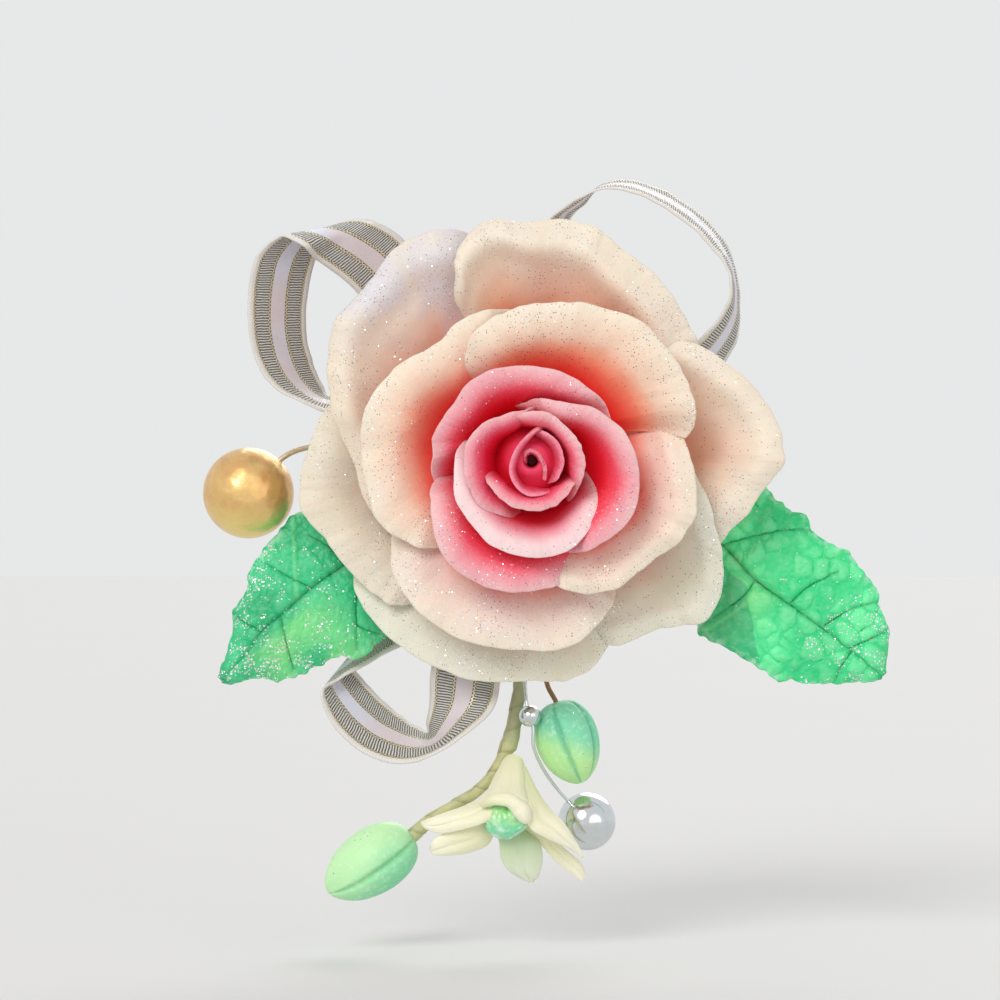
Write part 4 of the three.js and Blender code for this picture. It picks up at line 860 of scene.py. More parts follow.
# Rim points of each petal: degrees round the axis, then shares of the rose's radius and height.
RIMS = {
    "bud_roll": [
        (-150, 0.03, 0.84), (150, 0.038, 0.89), (100, 0.04, 0.91), (50, 0.036, 0.91),
        (0, 0.04, 0.91), (-30, 0.06, 0.9), (-59, 0.095, 0.87),
    ],
    "bud_wrap_left": [
        (60, 0.15, 0.87), (75, 0.135, 0.92), (110, 0.09, 0.94), (150, 0.078, 0.94),
        (-147, 0.104, 0.94), (-101, 0.142, 0.94), (-65, 0.152, 0.91), (-42, 0.16, 0.85),
    ],
    "bud_wrap_right": [
        (95, 0.11, 0.85), (70, 0.125, 0.91), (35, 0.125, 0.94), (0, 0.128, 0.95),
        (-35, 0.13, 0.93), (-60, 0.115, 0.86),
    ],
    "petal_inner_1": [
        (136, 0.183, 0.9), (104, 0.193, 0.97), (65, 0.197, 0.98), (32, 0.193, 0.98),
        (5, 0.209, 0.98), (-22, 0.215, 0.95), (-53, 0.235, 0.87),
    ],
    "petal_inner_3": [
        (178, 0.195, 0.83), (-154, 0.199, 0.92), (-125, 0.2, 0.96), (-96, 0.203, 0.97),
        (-62, 0.208, 0.96), (-30, 0.195, 0.9), (-3, 0.166, 0.8),
    ],
    "petal_inner_2": [
        (71, 0.246, 0.87), (92, 0.207, 0.92), (113, 0.203, 0.94), (140, 0.237, 0.96),
        (165, 0.268, 0.97), (-164, 0.271, 0.96), (-138, 0.275, 0.93), (-112, 0.251, 0.87),
        (-94, 0.241, 0.82),
    ],
    "petal_pink_1": [
        (109, 0.272, 0.8), (93, 0.252, 0.87), (74, 0.247, 0.91), (55, 0.276, 0.93),
        (38, 0.329, 0.94), (18, 0.382, 0.94), (-3, 0.427, 0.93), (-21, 0.456, 0.93),
        (-35, 0.453, 0.91), (-54, 0.432, 0.88), (-67, 0.417, 0.84), (-78, 0.401, 0.78),
    ],
    "petal_pink_2": [
        (154, 0.294, 0.78), (167, 0.299, 0.85), (-172, 0.314, 0.9), (-150, 0.343, 0.93),
        (-129, 0.363, 0.93), (-107, 0.381, 0.93), (-84, 0.393, 0.92), (-65, 0.385, 0.9),
        (-45, 0.35, 0.86), (-24, 0.315, 0.81), (-4, 0.285, 0.75),
    ],
    "petal_pink_3": [
        (-155, 0.426, 0.67), (-172, 0.42, 0.76), (177, 0.402, 0.82), (168, 0.413, 0.85),
        (159, 0.404, 0.88), (146, 0.388, 0.89), (130, 0.4, 0.9), (112, 0.393, 0.9),
        (90, 0.376, 0.9), (68, 0.372, 0.89), (47, 0.368, 0.87), (32, 0.378, 0.82),
        (8, 0.409, 0.7),
    ],
    "petal_pink_4": [
        (-176, 0.342, 0.63), (-167, 0.412, 0.77), (-156, 0.446, 0.83), (-144, 0.483, 0.86),
        (-131, 0.525, 0.87), (-114, 0.543, 0.87), (-97, 0.532, 0.86), (-82, 0.52, 0.79),
        (-70, 0.505, 0.71), (-58, 0.488, 0.64), (-46, 0.46, 0.58),
    ],
    "petal_middle_1": [
        (132, 0.46, 0.6), (126, 0.505, 0.7), (115, 0.56, 0.76), (105, 0.597, 0.775),
        (97, 0.616, 0.78), (87, 0.634, 0.775), (76, 0.655, 0.77), (64, 0.682, 0.77),
        (52, 0.704, 0.77), (38, 0.706, 0.77), (27, 0.705, 0.76), (19, 0.7, 0.75),
        (13, 0.675, 0.735), (8, 0.63, 0.7),
    ],
    "petal_middle_2": [
        (90, 0.582, 0.5), (97, 0.618, 0.6), (107, 0.642, 0.71), (118, 0.637, 0.73),
        (131, 0.616, 0.73), (143, 0.655, 0.73), (155, 0.694, 0.73), (168, 0.702, 0.72),
        (-177, 0.689, 0.69), (-160, 0.67, 0.67), (-149, 0.625, 0.67), (-141, 0.569, 0.67),
        (-133, 0.47, 0.58),
    ],
    "petal_middle_3": [
        (26, 0.58, 0.45), (18, 0.61, 0.56), (4, 0.642, 0.66), (-6, 0.66, 0.7),
        (-14, 0.69, 0.72), (-22, 0.698, 0.72), (-30, 0.681, 0.71), (-37, 0.645, 0.7),
        (-46, 0.62, 0.7), (-55, 0.628, 0.71), (-66, 0.594, 0.74), (-77, 0.527, 0.77),
        (-82, 0.475, 0.73),
    ],
    "petal_middle_4": [
        (-155, 0.574, 0.4), (-151, 0.645, 0.49), (-143, 0.71, 0.57), (-132, 0.75, 0.59),
        (-116, 0.769, 0.6), (-96, 0.771, 0.6), (-78, 0.765, 0.58), (-69, 0.73, 0.54),
        (-60, 0.664, 0.48), (-54, 0.604, 0.4),
    ],
    "petal_outer_1": [
        (55, 0.703, 0.22), (48, 0.72, 0.31), (41, 0.765, 0.41), (34, 0.837, 0.48),
        (25, 0.904, 0.49), (15, 0.98, 0.49), (6, 1.032, 0.48), (-1, 1.03, 0.47),
        (-6, 0.968, 0.44), (-14, 0.905, 0.42), (-21, 0.86, 0.38), (-27, 0.833, 0.32),
    ],
    "petal_outer_2": [
        (113, 0.631, 0.33), (115, 0.726, 0.43), (112, 0.827, 0.51), (110, 0.9, 0.53),
        (105, 0.968, 0.53), (99, 0.997, 0.53), (91, 0.963, 0.54), (81, 0.988, 0.53),
        (74, 0.98, 0.53), (66, 0.93, 0.52), (57, 0.91, 0.5), (45, 0.873, 0.48),
        (38, 0.842, 0.46), (28, 0.794, 0.3),
    ],
    "petal_outer_3": [
        (99, 0.901, 0.23), (106, 0.98, 0.36), (114, 1.032, 0.42), (121, 1.038, 0.43),
        (130, 0.995, 0.43), (141, 0.986, 0.43), (149, 0.96, 0.43), (158, 0.895, 0.43),
        (168, 0.825, 0.43), (180, 0.73, 0.43), (-167, 0.694, 0.42), (-155, 0.666, 0.39),
        (-144, 0.63, 0.27),
    ],
    "petal_outer_4": [
        (156, 0.814, 0.17), (162, 0.848, 0.26), (172, 0.898, 0.3), (-179, 0.936, 0.3),
        (-170, 0.975, 0.3), (-163, 0.93, 0.3), (-154, 0.883, 0.3), (-143, 0.867, 0.32),
        (-135, 0.823, 0.33), (-130, 0.77, 0.32), (-126, 0.701, 0.27),
    ],
    "petal_outer_5": [
        (-151, 0.855, 0.1), (-144, 0.892, 0.19), (-134, 0.924, 0.23), (-120, 0.933, 0.25),
        (-105, 0.932, 0.27), (-92, 0.907, 0.27), (-84, 0.92, 0.27), (-76, 0.9, 0.27),
        (-69, 0.838, 0.24), (-62, 0.777, 0.16), (-54, 0.682, 0.06),
    ],
    "petal_outer_6": [
        (1, 0.64, 0.36), (-4, 0.672, 0.45), (-12, 0.735, 0.5), (-19, 0.795, 0.49),
        (-24, 0.85, 0.44), (-29, 0.9, 0.37), (-36, 0.962, 0.32),
        (-43, 0.972, 0.3), (-48, 0.92, 0.28), (-56, 0.865, 0.27), (-65, 0.839, 0.25),
        (-70, 0.775, 0.21), (-72, 0.725, 0.17),
    ],
}

# Walls of each ring in shares of the rose's radius and height: the foot, how far out and up the
# wall heads from it, how far the lip rolls outward and how far it crests above the rim. Its two
# ends are tucked down and may be pulled in, their lips are narrower by the taper, and they may
# sink halfway up.
RINGS = {
    "bud_roll": {
        "foot": (0.03, 0.6), "out": 0.5, "up": 0.3, "lip": 0.008, "crest": 0.004,
        "tuck": 0.01, "taper": 0.5,
    },
    "bud_wrap": {
        "foot": (0.07, 0.6), "out": 0.6, "up": 0.3, "lip": 0.03, "crest": 0.02,
        "tuck": 0.09, "taper": 0.8,
    },
    "petal_inner": {
        "foot": (0.12, 0.64), "out": 0.45, "up": 0.35, "lip": 0.07, "crest": 0.035,
        "tuck": 0.2, "taper": 0.8,
    },
    "petal_pink": {
        "foot": (0.17, 0.5), "out": 0.4, "up": 0.5, "lip": 0.12, "crest": 0.045,
        "tuck": 0.1, "taper": 0.7, "sink": 0.04, "pull": 0.035,
    },
    "petal_middle": {
        "foot": (0.27, 0.36), "out": 0.3, "up": 0.42, "lip": 0.16, "crest": 0.07,
        "tuck": 0.03, "taper": 0.2, "sink": 0.11,
    },
    "petal_outer": {
        "foot": (0.33, 0.045), "out": 0.32, "up": 0.06, "lip": 0.22, "crest": 0.09,
        "tuck": 0.02, "taper": 0,
    },
}
FOOT_SPREAD = 0.75

# A roll of clay that lies across some petals: how far along the petal it is at each place
# across, its rise in millimetres and its width as a share of the way along.
ROLLS = {
    "petal_outer_2": (((0, 0.98), (0.25, 0.93), (0.5, 0.84), (0.75, 0.78), (1, 0.74)), 1.7, 0.09),
    "petal_outer_1": (((0, 0.8), (0.5, 0.9), (1, 0.82)), 0.9, 0.1),
    "petal_outer_3": (((0, 0.78), (0.4, 0.9), (1, 0.8)), 1.0, 0.1),
    "petal_middle_3": (((0, 0.8), (0.45, 0.86), (0.75, 0.92), (1, 0.86)), 0.5, 0.08),
    "petal_outer_6": (((0, 0.9), (0.3, 0.86), (0.6, 0.9), (1, 0.9)), 0.6, 0.06),
}
PETAL_GRID = (80, 40)
SEED_STEP = 5.3
# Waves along a rim: how strong each is, how many there are and which layer of noise it reads.
RIM_WAVES = ((1, 9, 0), (0.5, 23, 3), (0.3, 47, 5))


def by_start(table, name):
    """The first value of a table whose key the name starts with."""
    return next(value for start, value in table.items() if name.startswith(start))


def half_turn(angle):
    return math.atan2(math.sin(angle), math.cos(angle))


def petal_place(name, seed, ripple):
    """The middle surface of a petal, from its foot to its rim, with a modeller's small waves."""
    ring = by_start(RINGS, name)
    tuck = ring["tuck"] * ROSE_HEIGHT
    sink = ring.get("sink", 0) * ROSE_HEIGHT
    pull = ring.get("pull", 0) * ROSE_RADIUS
    rim = smooth_line(
        [
            around_axis(degrees * DEGREE, radius * ROSE_RADIUS, PETAL_BASE + height * ROSE_HEIGHT)
            for degrees, radius, height in RIMS[name]
        ]
    )
    middle = rim(0.5)
    middle_angle = math.atan2(middle.z, middle.x)
    foot_radius = ring["foot"][0] * ROSE_RADIUS
    foot_height = PETAL_BASE + ring["foot"][1] * ROSE_HEIGHT
    full_lip = ring["lip"] * ROSE_RADIUS
    crest = ring["crest"] * ROSE_HEIGHT

    def place(across, along):
        edge = rim(across)
        radius = math.hypot(edge.x, edge.z)
        sweep = half_turn(math.atan2(edge.z, edge.x) - middle_angle)
        angle = middle_angle + sweep * (FOOT_SPREAD + (1 - FOOT_SPREAD) * along)
        out = foot_radius + (radius - foot_radius) * ring["out"]
        up = foot_height - (edge.y + foot_height) * ring["up"]
        from_end = min(across, 1 - across)
        lip = full_lip * (1 - ring["taper"] * (1 - ease(from_end, 0, 0.25)))
        reach = cubic(along, foot_radius, out, radius - lip, radius)
        height = cubic(along, foot_height, up, -edge.y + crest, -edge.y)
        here = around_axis(angle, reach, height)
        near_end = 1 - ease(from_end, 0, 0.14)
        height -= tuck * (1 - ease(from_end, 0, 0.18)) * along
        reach -= pull * near_end * along
        height -= sink * near_end * math.sin(math.pi * along)
        if name in ROLLS:
            line, rise, width = ROLLS[name]
            away = (along - table_at(line, across)) / width
            height += rise * math.exp(-(away**2)) * ease(from_end, 0, 0.12)
        near_rim = along**4
        wave = sum(
            strength * lumps((across * count, along, layer), 1, seed)
            for strength, count, layer in RIM_WAVES
        )
        fold = lumps((across * 14, along * 1.5, 7), 1, seed) * ease(along, 0.2, 0.7)
        soft = lumps(here, 9, seed) * 0.85 + lumps(here, 3.2, seed) * 0.16
        reach += ripple * (0.8 * wave * near_rim)
        height += ripple * (0.9 * wave * near_rim + 0.5 * fold + 1.3 * soft * ease(along, 0, 0.3))
        return around_axis(angle, reach, height)

    return place


def petal_looks(rose):
    """Colours of each petal from foot to rim, its share of glitter, and how frosted it is."""
    bud = fade((0, 210, 6, 42), (0.45, 224, 28, 70), (0.8, 234, 80, 114), (1, 242, 140, 162))
    inner = fade((0, 220, 6, 40), (0.5, 242, 30, 72), (0.76, 244, 90, 122), (1, rose.pink))
    pink = fade(
        (0, 222, 6, 24), (0.5, 250, 30, 58), (0.68, 248, 72, 98), (0.86, 238, 150, 162),
        (1, rose.pink),
    )
    pale = fade(
        (0, 222, 8, 30), (0.44, 244, 50, 76), (0.64, 242, 142, 160), (0.84, 248, 210, 212),
        (1, 248, 220, 220),
    )
    middle = fade(
        (0.28, 255, 60, 56), (0.38, 255, 96, 84), (0.47, 255, 140, 118), (0.57, 255, 178, 150),
        (0.7, 249, 212, 184), (1, rose.cream),
    )
    upper = fade(
        (0.28, 255, 60, 54), (0.38, 255, 104, 84), (0.47, 255, 142, 110), (0.57, 253, 184, 148),
        (0.68, 246, 214, 186), (1, rose.cream),
    )
    right = fade(
        (0.28, 255, 66, 62), (0.38, 255, 100, 92), (0.47, 252, 144, 126), (0.56, 248, 184, 166),
        (0.66, 244, 214, 198), (1, rose.cream),
    )
    lower = fade(
        (0.36, 252, 120, 116), (0.5, 248, 176, 162), (0.64, 242, 214, 200), (1, rose.cream)
    )
    outer = fade(
        (0.4, 255, 174, 138), (0.54, 255, 204, 170), (0.68, 248, 218, 192), (0.85, rose.cream)
    )
    cool = fade(
        (0.4, 255, 204, 174), (0.54, 250, 220, 198), (0.7, 240, 224, 204), (1, 236, 220, 196)
    )
    low = fade(
        (0.4, 246, 190, 156), (0.56, 238, 216, 194), (0.7, 230, 218, 194), (1, 232, 222, 198)
    )
    green = fade(
        (0.4, 246, 204, 176), (0.54, 238, 226, 204), (0.7, 234, 232, 208), (1, 234, 232, 210)
    )
    all_over = (0.1, -100, -90)
    return {
        "bud_roll": (bud, 0.05, None),
        "bud_wrap": (bud, 0.08, None),
        "petal_inner": (inner, 0.15, None),
        "petal_pink_2": (pale, 0.35, None),
        "petal_pink": (pink, 0.35, None),
        "petal_middle_1": (upper, 0.7, None),
        "petal_middle_3": (right, 0.45, None),
        "petal_middle_4": (lower, 0.75, all_over),
        "petal_middle": (middle, 0.45, None),
        "petal_outer_3": (cool, 0.5, (0.7, 14, 26)),
        "petal_outer_4": (low, 0.4, all_over),
        "petal_outer_5": (green, 0.55, all_over),
        "petal_outer_6": (green, 0.6, all_over),
        "petal_outer": (outer, 0.42, all_over),
    }


# The share of a petal's flakes that look dark.
DARK_FLAKES = {
    "petal_middle_1": 0.62,
    "petal_middle_4": 0.22,
    "petal_outer_5": 0.25,
    "petal_outer_6": 0.25,
}
USUAL_DARK_FLAKES = 0.42

# The slot of each ring's clay, how strongly its petals wave and how white their rims are.
PETAL_SLOTS = {
    "bud": ("clay_bud", 0.25, 0.12),
    "petal_inner": ("clay_pink", 0.6, 0.12),
    "petal_pink": ("clay_pink", 0.6, 0.12),
    "petal_middle": ("clay_peach", 1, 0.3),
    "petal_outer": ("clay_cream", 1, 0.3),
}

HEART_OUTLINE = [
    (0, 0.1), (0.22, 0.1), (0.27, 0.3), (0.24, 0.48), (0.18, 0.64), (0.145, 0.74), (0.115, 0.8),
    (0.085, 0.84), (0.06, 0.875), (0.038, 0.88), (0.027, 0.82), (0.02, 0.76), (0, 0.76),
]


def build_heart():
    """The cone of clay that the bud and the inner petals are pressed on."""
    profile = [(r * ROSE_RADIUS, h * ROSE_HEIGHT) for r, h in HEART_OUTLINE]

    def pressed(turn, along):
        return 1 + 0.04 * math.sin(TURN * (turn * 2 + along * 2)) * ease(along, 0.3, 0.5)

    bm = turned(profile, FORWARD * PETAL_BASE, FORWARD, 72, 60, pressed)
    piece("rose_heart_pressed", bm, heart_finish(), "clay_plain")


def build_petals(rose):
    looks = petal_looks(rose)
    for index, name in enumerate(RIMS):
        slot, waves, powdered = by_start(PETAL_SLOTS, name)
        bm = grid(petal_place(name, index * SEED_STEP, rose.ripple / MM * waves), *PETAL_GRID)
        weigh(bm, lambda across, along: 1 - ease(along, 0.55, 1))
        stops, glitter, veil = by_start(looks, name)
        dark = DARK_FLAKES.get(name, USUAL_DARK_FLAKES)
        finish = clay_finish(name + "_clay", stops, glitter * rose.glitter, veil, dark, powdered)
        made = piece(name + "_modelled", bm, finish, slot, replaces=[name])
        made.vertex_groups.new(name="Body")
        solidify(made, rose.petal_thickness / MM, rose.rim_share, "Body")
        subdivide(made)


# Ribbon

RIBBON_STEPS = 260
RIBBON_LOOPS = {
    "ribbon_loop_upper_left": {
        "ends": (135, 158),
        "edges": [
            ((-0.59, 0.48, -0.08), (-0.37, 0.69, -0.08)),
            ((-0.74, 0.71, 0.02), (-0.52, 0.93, 0)),
            ((-0.87, 0.84, 0.15), (-0.66, 0.99, 0.09)),
            ((-0.93, 0.89, 0.29), (-0.75, 1, 0.06)),
            ((-1.02, 0.93, 0.25), (-0.82, 0.98, -0.01)),
            ((-1.08, 0.9, 0.2), (-0.87, 0.92, -0.03)),
            ((-1.14, 0.83, 0.15), (-0.91, 0.84, -0.06)),
            ((-1.17, 0.7, 0.09), (-0.94, 0.7, -0.14)),
            ((-1.17, 0.55, 0.05), (-0.95, 0.56, -0.19)),
            ((-1.14, 0.42, 0.02), (-0.93, 0.44, -0.23)),
            ((-1.06, 0.31, 0.03), (-0.89, 0.34, -0.26)),
            ((-0.88, 0.22, 0.08), (-0.84, 0.28, -0.27)),
            ((-0.65, 0.18, -0.01), (-0.6, 0.4, -0.25)),
        ],
    },
    "ribbon_loop_upper_right": {
        "ends": (80, 28),
        "edges": [
            ((-0.04, 0.68, -0.03), (0.23, 0.68, -0.14)),
            ((0.08, 1, 0.13), (0.16, 1.02, -0.2)),
            ((0.18, 1.08, 0.17), (0.23, 1.09, -0.2)),
            ((0.29, 1.13, 0.17), (0.29, 1.16, -0.2)),
            ((0.41, 1.12, 0.17), (0.4, 1.19, -0.2)),
            ((0.54, 1.06, 0.17), (0.55, 1.15, -0.2)),
            ((0.66, 0.98, 0.17), (0.7, 1.06, -0.2)),
            ((0.74, 0.9, 0.17), (0.8, 0.96, -0.2)),
            ((0.81, 0.81, 0.17), (0.86, 0.83, -0.2)),
            ((0.83, 0.73, 0.17), (0.88, 0.7, -0.2)),
            ((0.81, 0.64, 0.15), (0.88, 0.57, -0.2)),
            ((0.7, 0.5, 0.12), (0.83, 0.44, -0.2)),
            ((0.53, 0.44, -0.03), (0.68, 0.24, -0.17)),
        ],
    },
    "ribbon_loop_lower_left": {
        "ends": (-120, -132),
        "edges": [
            ((-0.09, -0.7, -0.02), (-0.38, -0.63, -0.02)),
            ((-0.12, -0.92, 0.02), (-0.42, -0.86, 0.02)),
            ((-0.16, -1.03, 0.1), (-0.42, -1, -0.07)),
            ((-0.26, -1.12, 0.17), (-0.43, -1.09, -0.13)),
            ((-0.38, -1.2, 0.18), (-0.43, -1.14, -0.17)),
            ((-0.47, -1.24, 0.13), (-0.48, -1.12, -0.19)),
            ((-0.56, -1.25, 0.1), (-0.55, -1.07, -0.19)),
            ((-0.67, -1.22, 0.08), (-0.61, -1.02, -0.17)),
            ((-0.77, -1.15, 0.08), (-0.68, -0.95, -0.16)),
            ((-0.84, -1.05, 0.08), (-0.74, -0.89, -0.18)),
            ((-0.87, -0.96, 0.1), (-0.78, -0.85, -0.23)),
            ((-0.8, -0.91, 0.02), (-0.7, -0.76, -0.27)),
            ((-0.62, -0.8, -0.05), (-0.55, -0.6, -0.25)),
            ((-0.36, -0.62, -0.12), (-0.52, -0.43, -0.24)),
        ],
    },
}


def root_way(degrees):
    angle = degrees * DEGREE
    return Vector((math.sin(angle), 0, -math.cos(angle)))


def ribbon_lines(loop):
    """The middle line of a loop and the way from edge to edge, as functions of the way along."""
    start, end = loop["ends"]
    edges = [(spot(first), spot(second)) for first, second in loop["edges"]]
    middles = [(first + second) / 2 for first, second in edges]
    ways = [(second - first).normalized() for first, second in edges]
    inner_end, wall_end = base_root(end, 0.25)
    route = smooth_line([*base_root(start, 0.75), *middles, wall_end, inner_end])
    first, last = root_way(start), root_way(end)
    return route, smooth_line([first, first, *ways, last, last])


def build_ribbons(ribbon):
    finish = ribbon_finish(ribbon)
    for index, (name, loop) in enumerate(RIBBON_LOOPS.items()):
        route, ways = ribbon_lines(loop)
        places = [route(step / RIBBON_STEPS) for step in range(RIBBON_STEPS + 1)]
        lengths = [0.0]
        for here, after in zip(places, places[1:]):
            lengths.append(lengths[-1] + (after - here).length)

        def place(across, along, seed=index * 3.1, route=route, ways=ways):
            way = ways(along).normalized()
            ahead = (route(min(along + 0.002, 1)) - route(max(along - 0.002, 0))).normalized()
            proud = way.cross(ahead).normalized()
            edge = (across * 2 - 1) ** 2
            wave = lumps((along * 30, across * 2, 0), 1, seed) * 0.16 * (0.4 + edge)
            return route(along) + way * ((across - 0.5) * RIBBON_WIDTH) + proud * wave

        bm = grid(place, 18, RIBBON_STEPS)
        uv = bm.loops.layers.uv.verify()
        for face in bm.faces:
            for loop_corner in face.loops:
                corner = loop_corner[uv].uv
                corner.y = lengths[round(corner.y * RIBBON_STEPS)] / V_LENGTH
        made = piece(name + "_satin", bm, finish, "ribbon", replaces=[name])
        solidify(made, ribbon.thickness / MM)
        length = lengths[-1] * MM


# Leaves

# Margins: places along the midrib, then how far out the margin lies, in shares of the length.
# Veins and creases: places along the midrib, then how far to the side, in shares of the length.
# Relief: how proud the puffs stand. Patch: a darker part on one side of the midrib, from a side
# distance outward and up to an end along the leaf that moves on with the distance.
LEAVES = {
    "leaf_left": {
        "length": 37.5,
        "root_angle": -161,
        "root": (-0.568, -0.278, -0.01),
        "tip": (-1.303, -0.919, 0.13),
        "left": [
            (0, 0.03), (0.12, 0.18), (0.26, 0.335), (0.3, 0.345), (0.35, 0.326), (0.46, 0.334),
            (0.51, 0.309), (0.54, 0.259), (0.61, 0.238), (0.72, 0.216), (0.77, 0.192),
            (0.82, 0.167), (0.86, 0.105), (0.93, 0.06), (0.98, 0.035), (1, 0.01),
        ],
        "right": [
            (0, 0.03), (0.1, 0.2), (0.18, 0.295), (0.24, 0.32), (0.3, 0.33), (0.37, 0.323),
            (0.44, 0.308), (0.49, 0.303), (0.56, 0.283), (0.62, 0.254), (0.65, 0.211), (0.7, 0.206),
            (0.76, 0.189), (0.83, 0.115), (0.92, 0.055), (1, 0.01),
        ],
        "veins": [
            [
                (0, 0), (0.266, 0.021), (0.439, 0.039), (0.596, 0.038), (0.728, 0.038),
                (0.819, 0.014), (0.996, -0.005),
            ],
            [(0.439, 0.039), (0.48, 0.13), (0.518, 0.24)],
            [(0.728, 0.038), (0.75, 0.1), (0.768, 0.171)],
            [(0.266, 0.021), (0.27, 0.12), (0.3, 0.22)],
            [(0.266, -0.066), (0.37, -0.17), (0.469, -0.292)],
            [(0.62, 0.036), (0.68, -0.07), (0.73, -0.17)],
            [(0.398, -0.21), (0.38, -0.26), (0.341, -0.317)],
        ],
        "creases": [[(0.519, 0.04), (0.4, 0.2), (0.279, 0.349)]],
        "relief": 1,
        "clay": {
            "glitter_from": (0.3, 0.75), "lime_span": (0.44, 0.82), "lime_side": -1, "net_shade": 0,
        },
    },
    "leaf_right": {
        "length": 44,
        "root_angle": -17,
        "root": (0.595, -0.181, -0.05),
        "tip": (1.483, -0.902, 0.03),
        "left": [
            (0, 0.03), (0.08, 0.14), (0.15, 0.22), (0.22, 0.27), (0.27, 0.258), (0.36, 0.261),
            (0.41, 0.28), (0.46, 0.251), (0.54, 0.255), (0.62, 0.276), (0.68, 0.249),
            (0.78, 0.238), (0.84, 0.187), (0.91, 0.149), (0.95, 0.091), (1, 0.015),
        ],
        "right": [
            (0, 0.03), (0.1, 0.15), (0.2, 0.23), (0.35, 0.293), (0.38, 0.311), (0.44, 0.3),
            (0.52, 0.28), (0.64, 0.266), (0.72, 0.265), (0.74, 0.222), (0.81, 0.197),
            (0.88, 0.137), (0.95, 0.072), (0.98, 0.042), (1, 0.015),
        ],
        "veins": [
            [
                (0, 0), (0.233, 0.001), (0.41, 0.024), (0.568, 0.015), (0.706, 0.008),
                (0.845, 0.004), (1, 0.003),
            ],
            [(0.233, 0.001), (0.301, -0.092), (0.367, -0.174), (0.457, -0.252)],
            [(0.564, 0.009), (0.578, -0.079), (0.606, -0.144), (0.629, -0.192)],
            [(0.715, -0.01), (0.752, -0.111), (0.814, -0.199)],
            [(0.841, -0.002), (0.875, -0.07), (0.914, -0.147)],
            [(0.41, 0.024), (0.415, 0.077), (0.364, 0.29)],
            [(0.233, 0.001), (0.24, 0.09), (0.2, 0.17)],
            [(0.851, -0.001), (0.859, 0.079), (0.875, 0.123)],
        ],
        "creases": [[(0.44, 0.05), (0.442, 0.09), (0.39, 0.28)]],
        "patch": {"from": 0.055, "end": 0.33, "slope": 1.15},
        "relief": 1.9,
        "clay": {
            "glitter_from": (0.66, 1.0), "lime_span": (0.2, 0.5), "lime_side": 1, "net_shade": 0.55,
        },
    },
}


def table_at(rows, place):
    for (start, start_value), (end, end_value) in zip(rows, rows[1:]):
        if place <= end:
            return start_value + (end_value - start_value) * (place - start) / (end - start)
    return rows[-1][1]


def leaf_frame(leaf):
    root = spot(leaf["root"])
    midrib = (spot(leaf["tip"]) - root).normalized() * leaf["length"]
    return root, midrib, midrib.cross(FORWARD).normalized()


def side_distance(leaf, across, along):
    """How far a place of the leaf lies from its midrib, in shares of the length."""
    share = across * 2 - 1
    return share * table_at(leaf["left"] if share < 0 else leaf["right"], along)


def leaf_place(leaf):
    root, midrib, side = leaf_frame(leaf)

    def place(across, along):
        share = across * 2 - 1
        rise = LEAF_ARCH * math.sin(math.pi * along) - LEAF_DROOP * share * share
        sideways = side * (side_distance(leaf, across, along) * leaf["length"])
        return root + midrib * along + sideways + FORWARD * rise

    return place


# A midrib and a vein: steps along it, its depth and width at its start, and how much each loses.
MIDRIB = (200, (1, 0.35), (0.62, 0.2))
VEIN = (60, (0.85, 0.35), (0.38, 0.1))
CREASE_WIDTH = 0.22
PUFF_SIZE = 3.1
LEAF_GRID = (110, 170)


def vein_tree(leaf, lines):
    """Points close together along every vein, and how deep and wide the vein is at each."""
    marks = []
    length = leaf["length"]
    for index, points in enumerate(lines):
        line = smooth_line([(along * length, side * length, 0) for along, side in points])
        steps, (depth, shallower), (width, narrower) = VEIN if index else MIDRIB
        for step in range(steps + 1):
            share = step / steps
            marks.append((line(share), depth - shallower * share, width - narrower * share))
    tree = KDTree(len(marks))
    for index, (point, _, _) in enumerate(marks):
        tree.insert(point, index)
    tree.balance()
    return tree, marks


def patch_at(leaf, along, side):
    """How far a place, in shares of the length, lies inside the leaf's darker patch, 0 to 1."""
    if "patch" not in leaf:
        return 0
    patch = leaf["patch"]
    before_end = ease(patch["end"] + patch["slope"] * side - along, 0, 0.012)
    return before_end * ease(side - patch["from"], 0, 0.012)


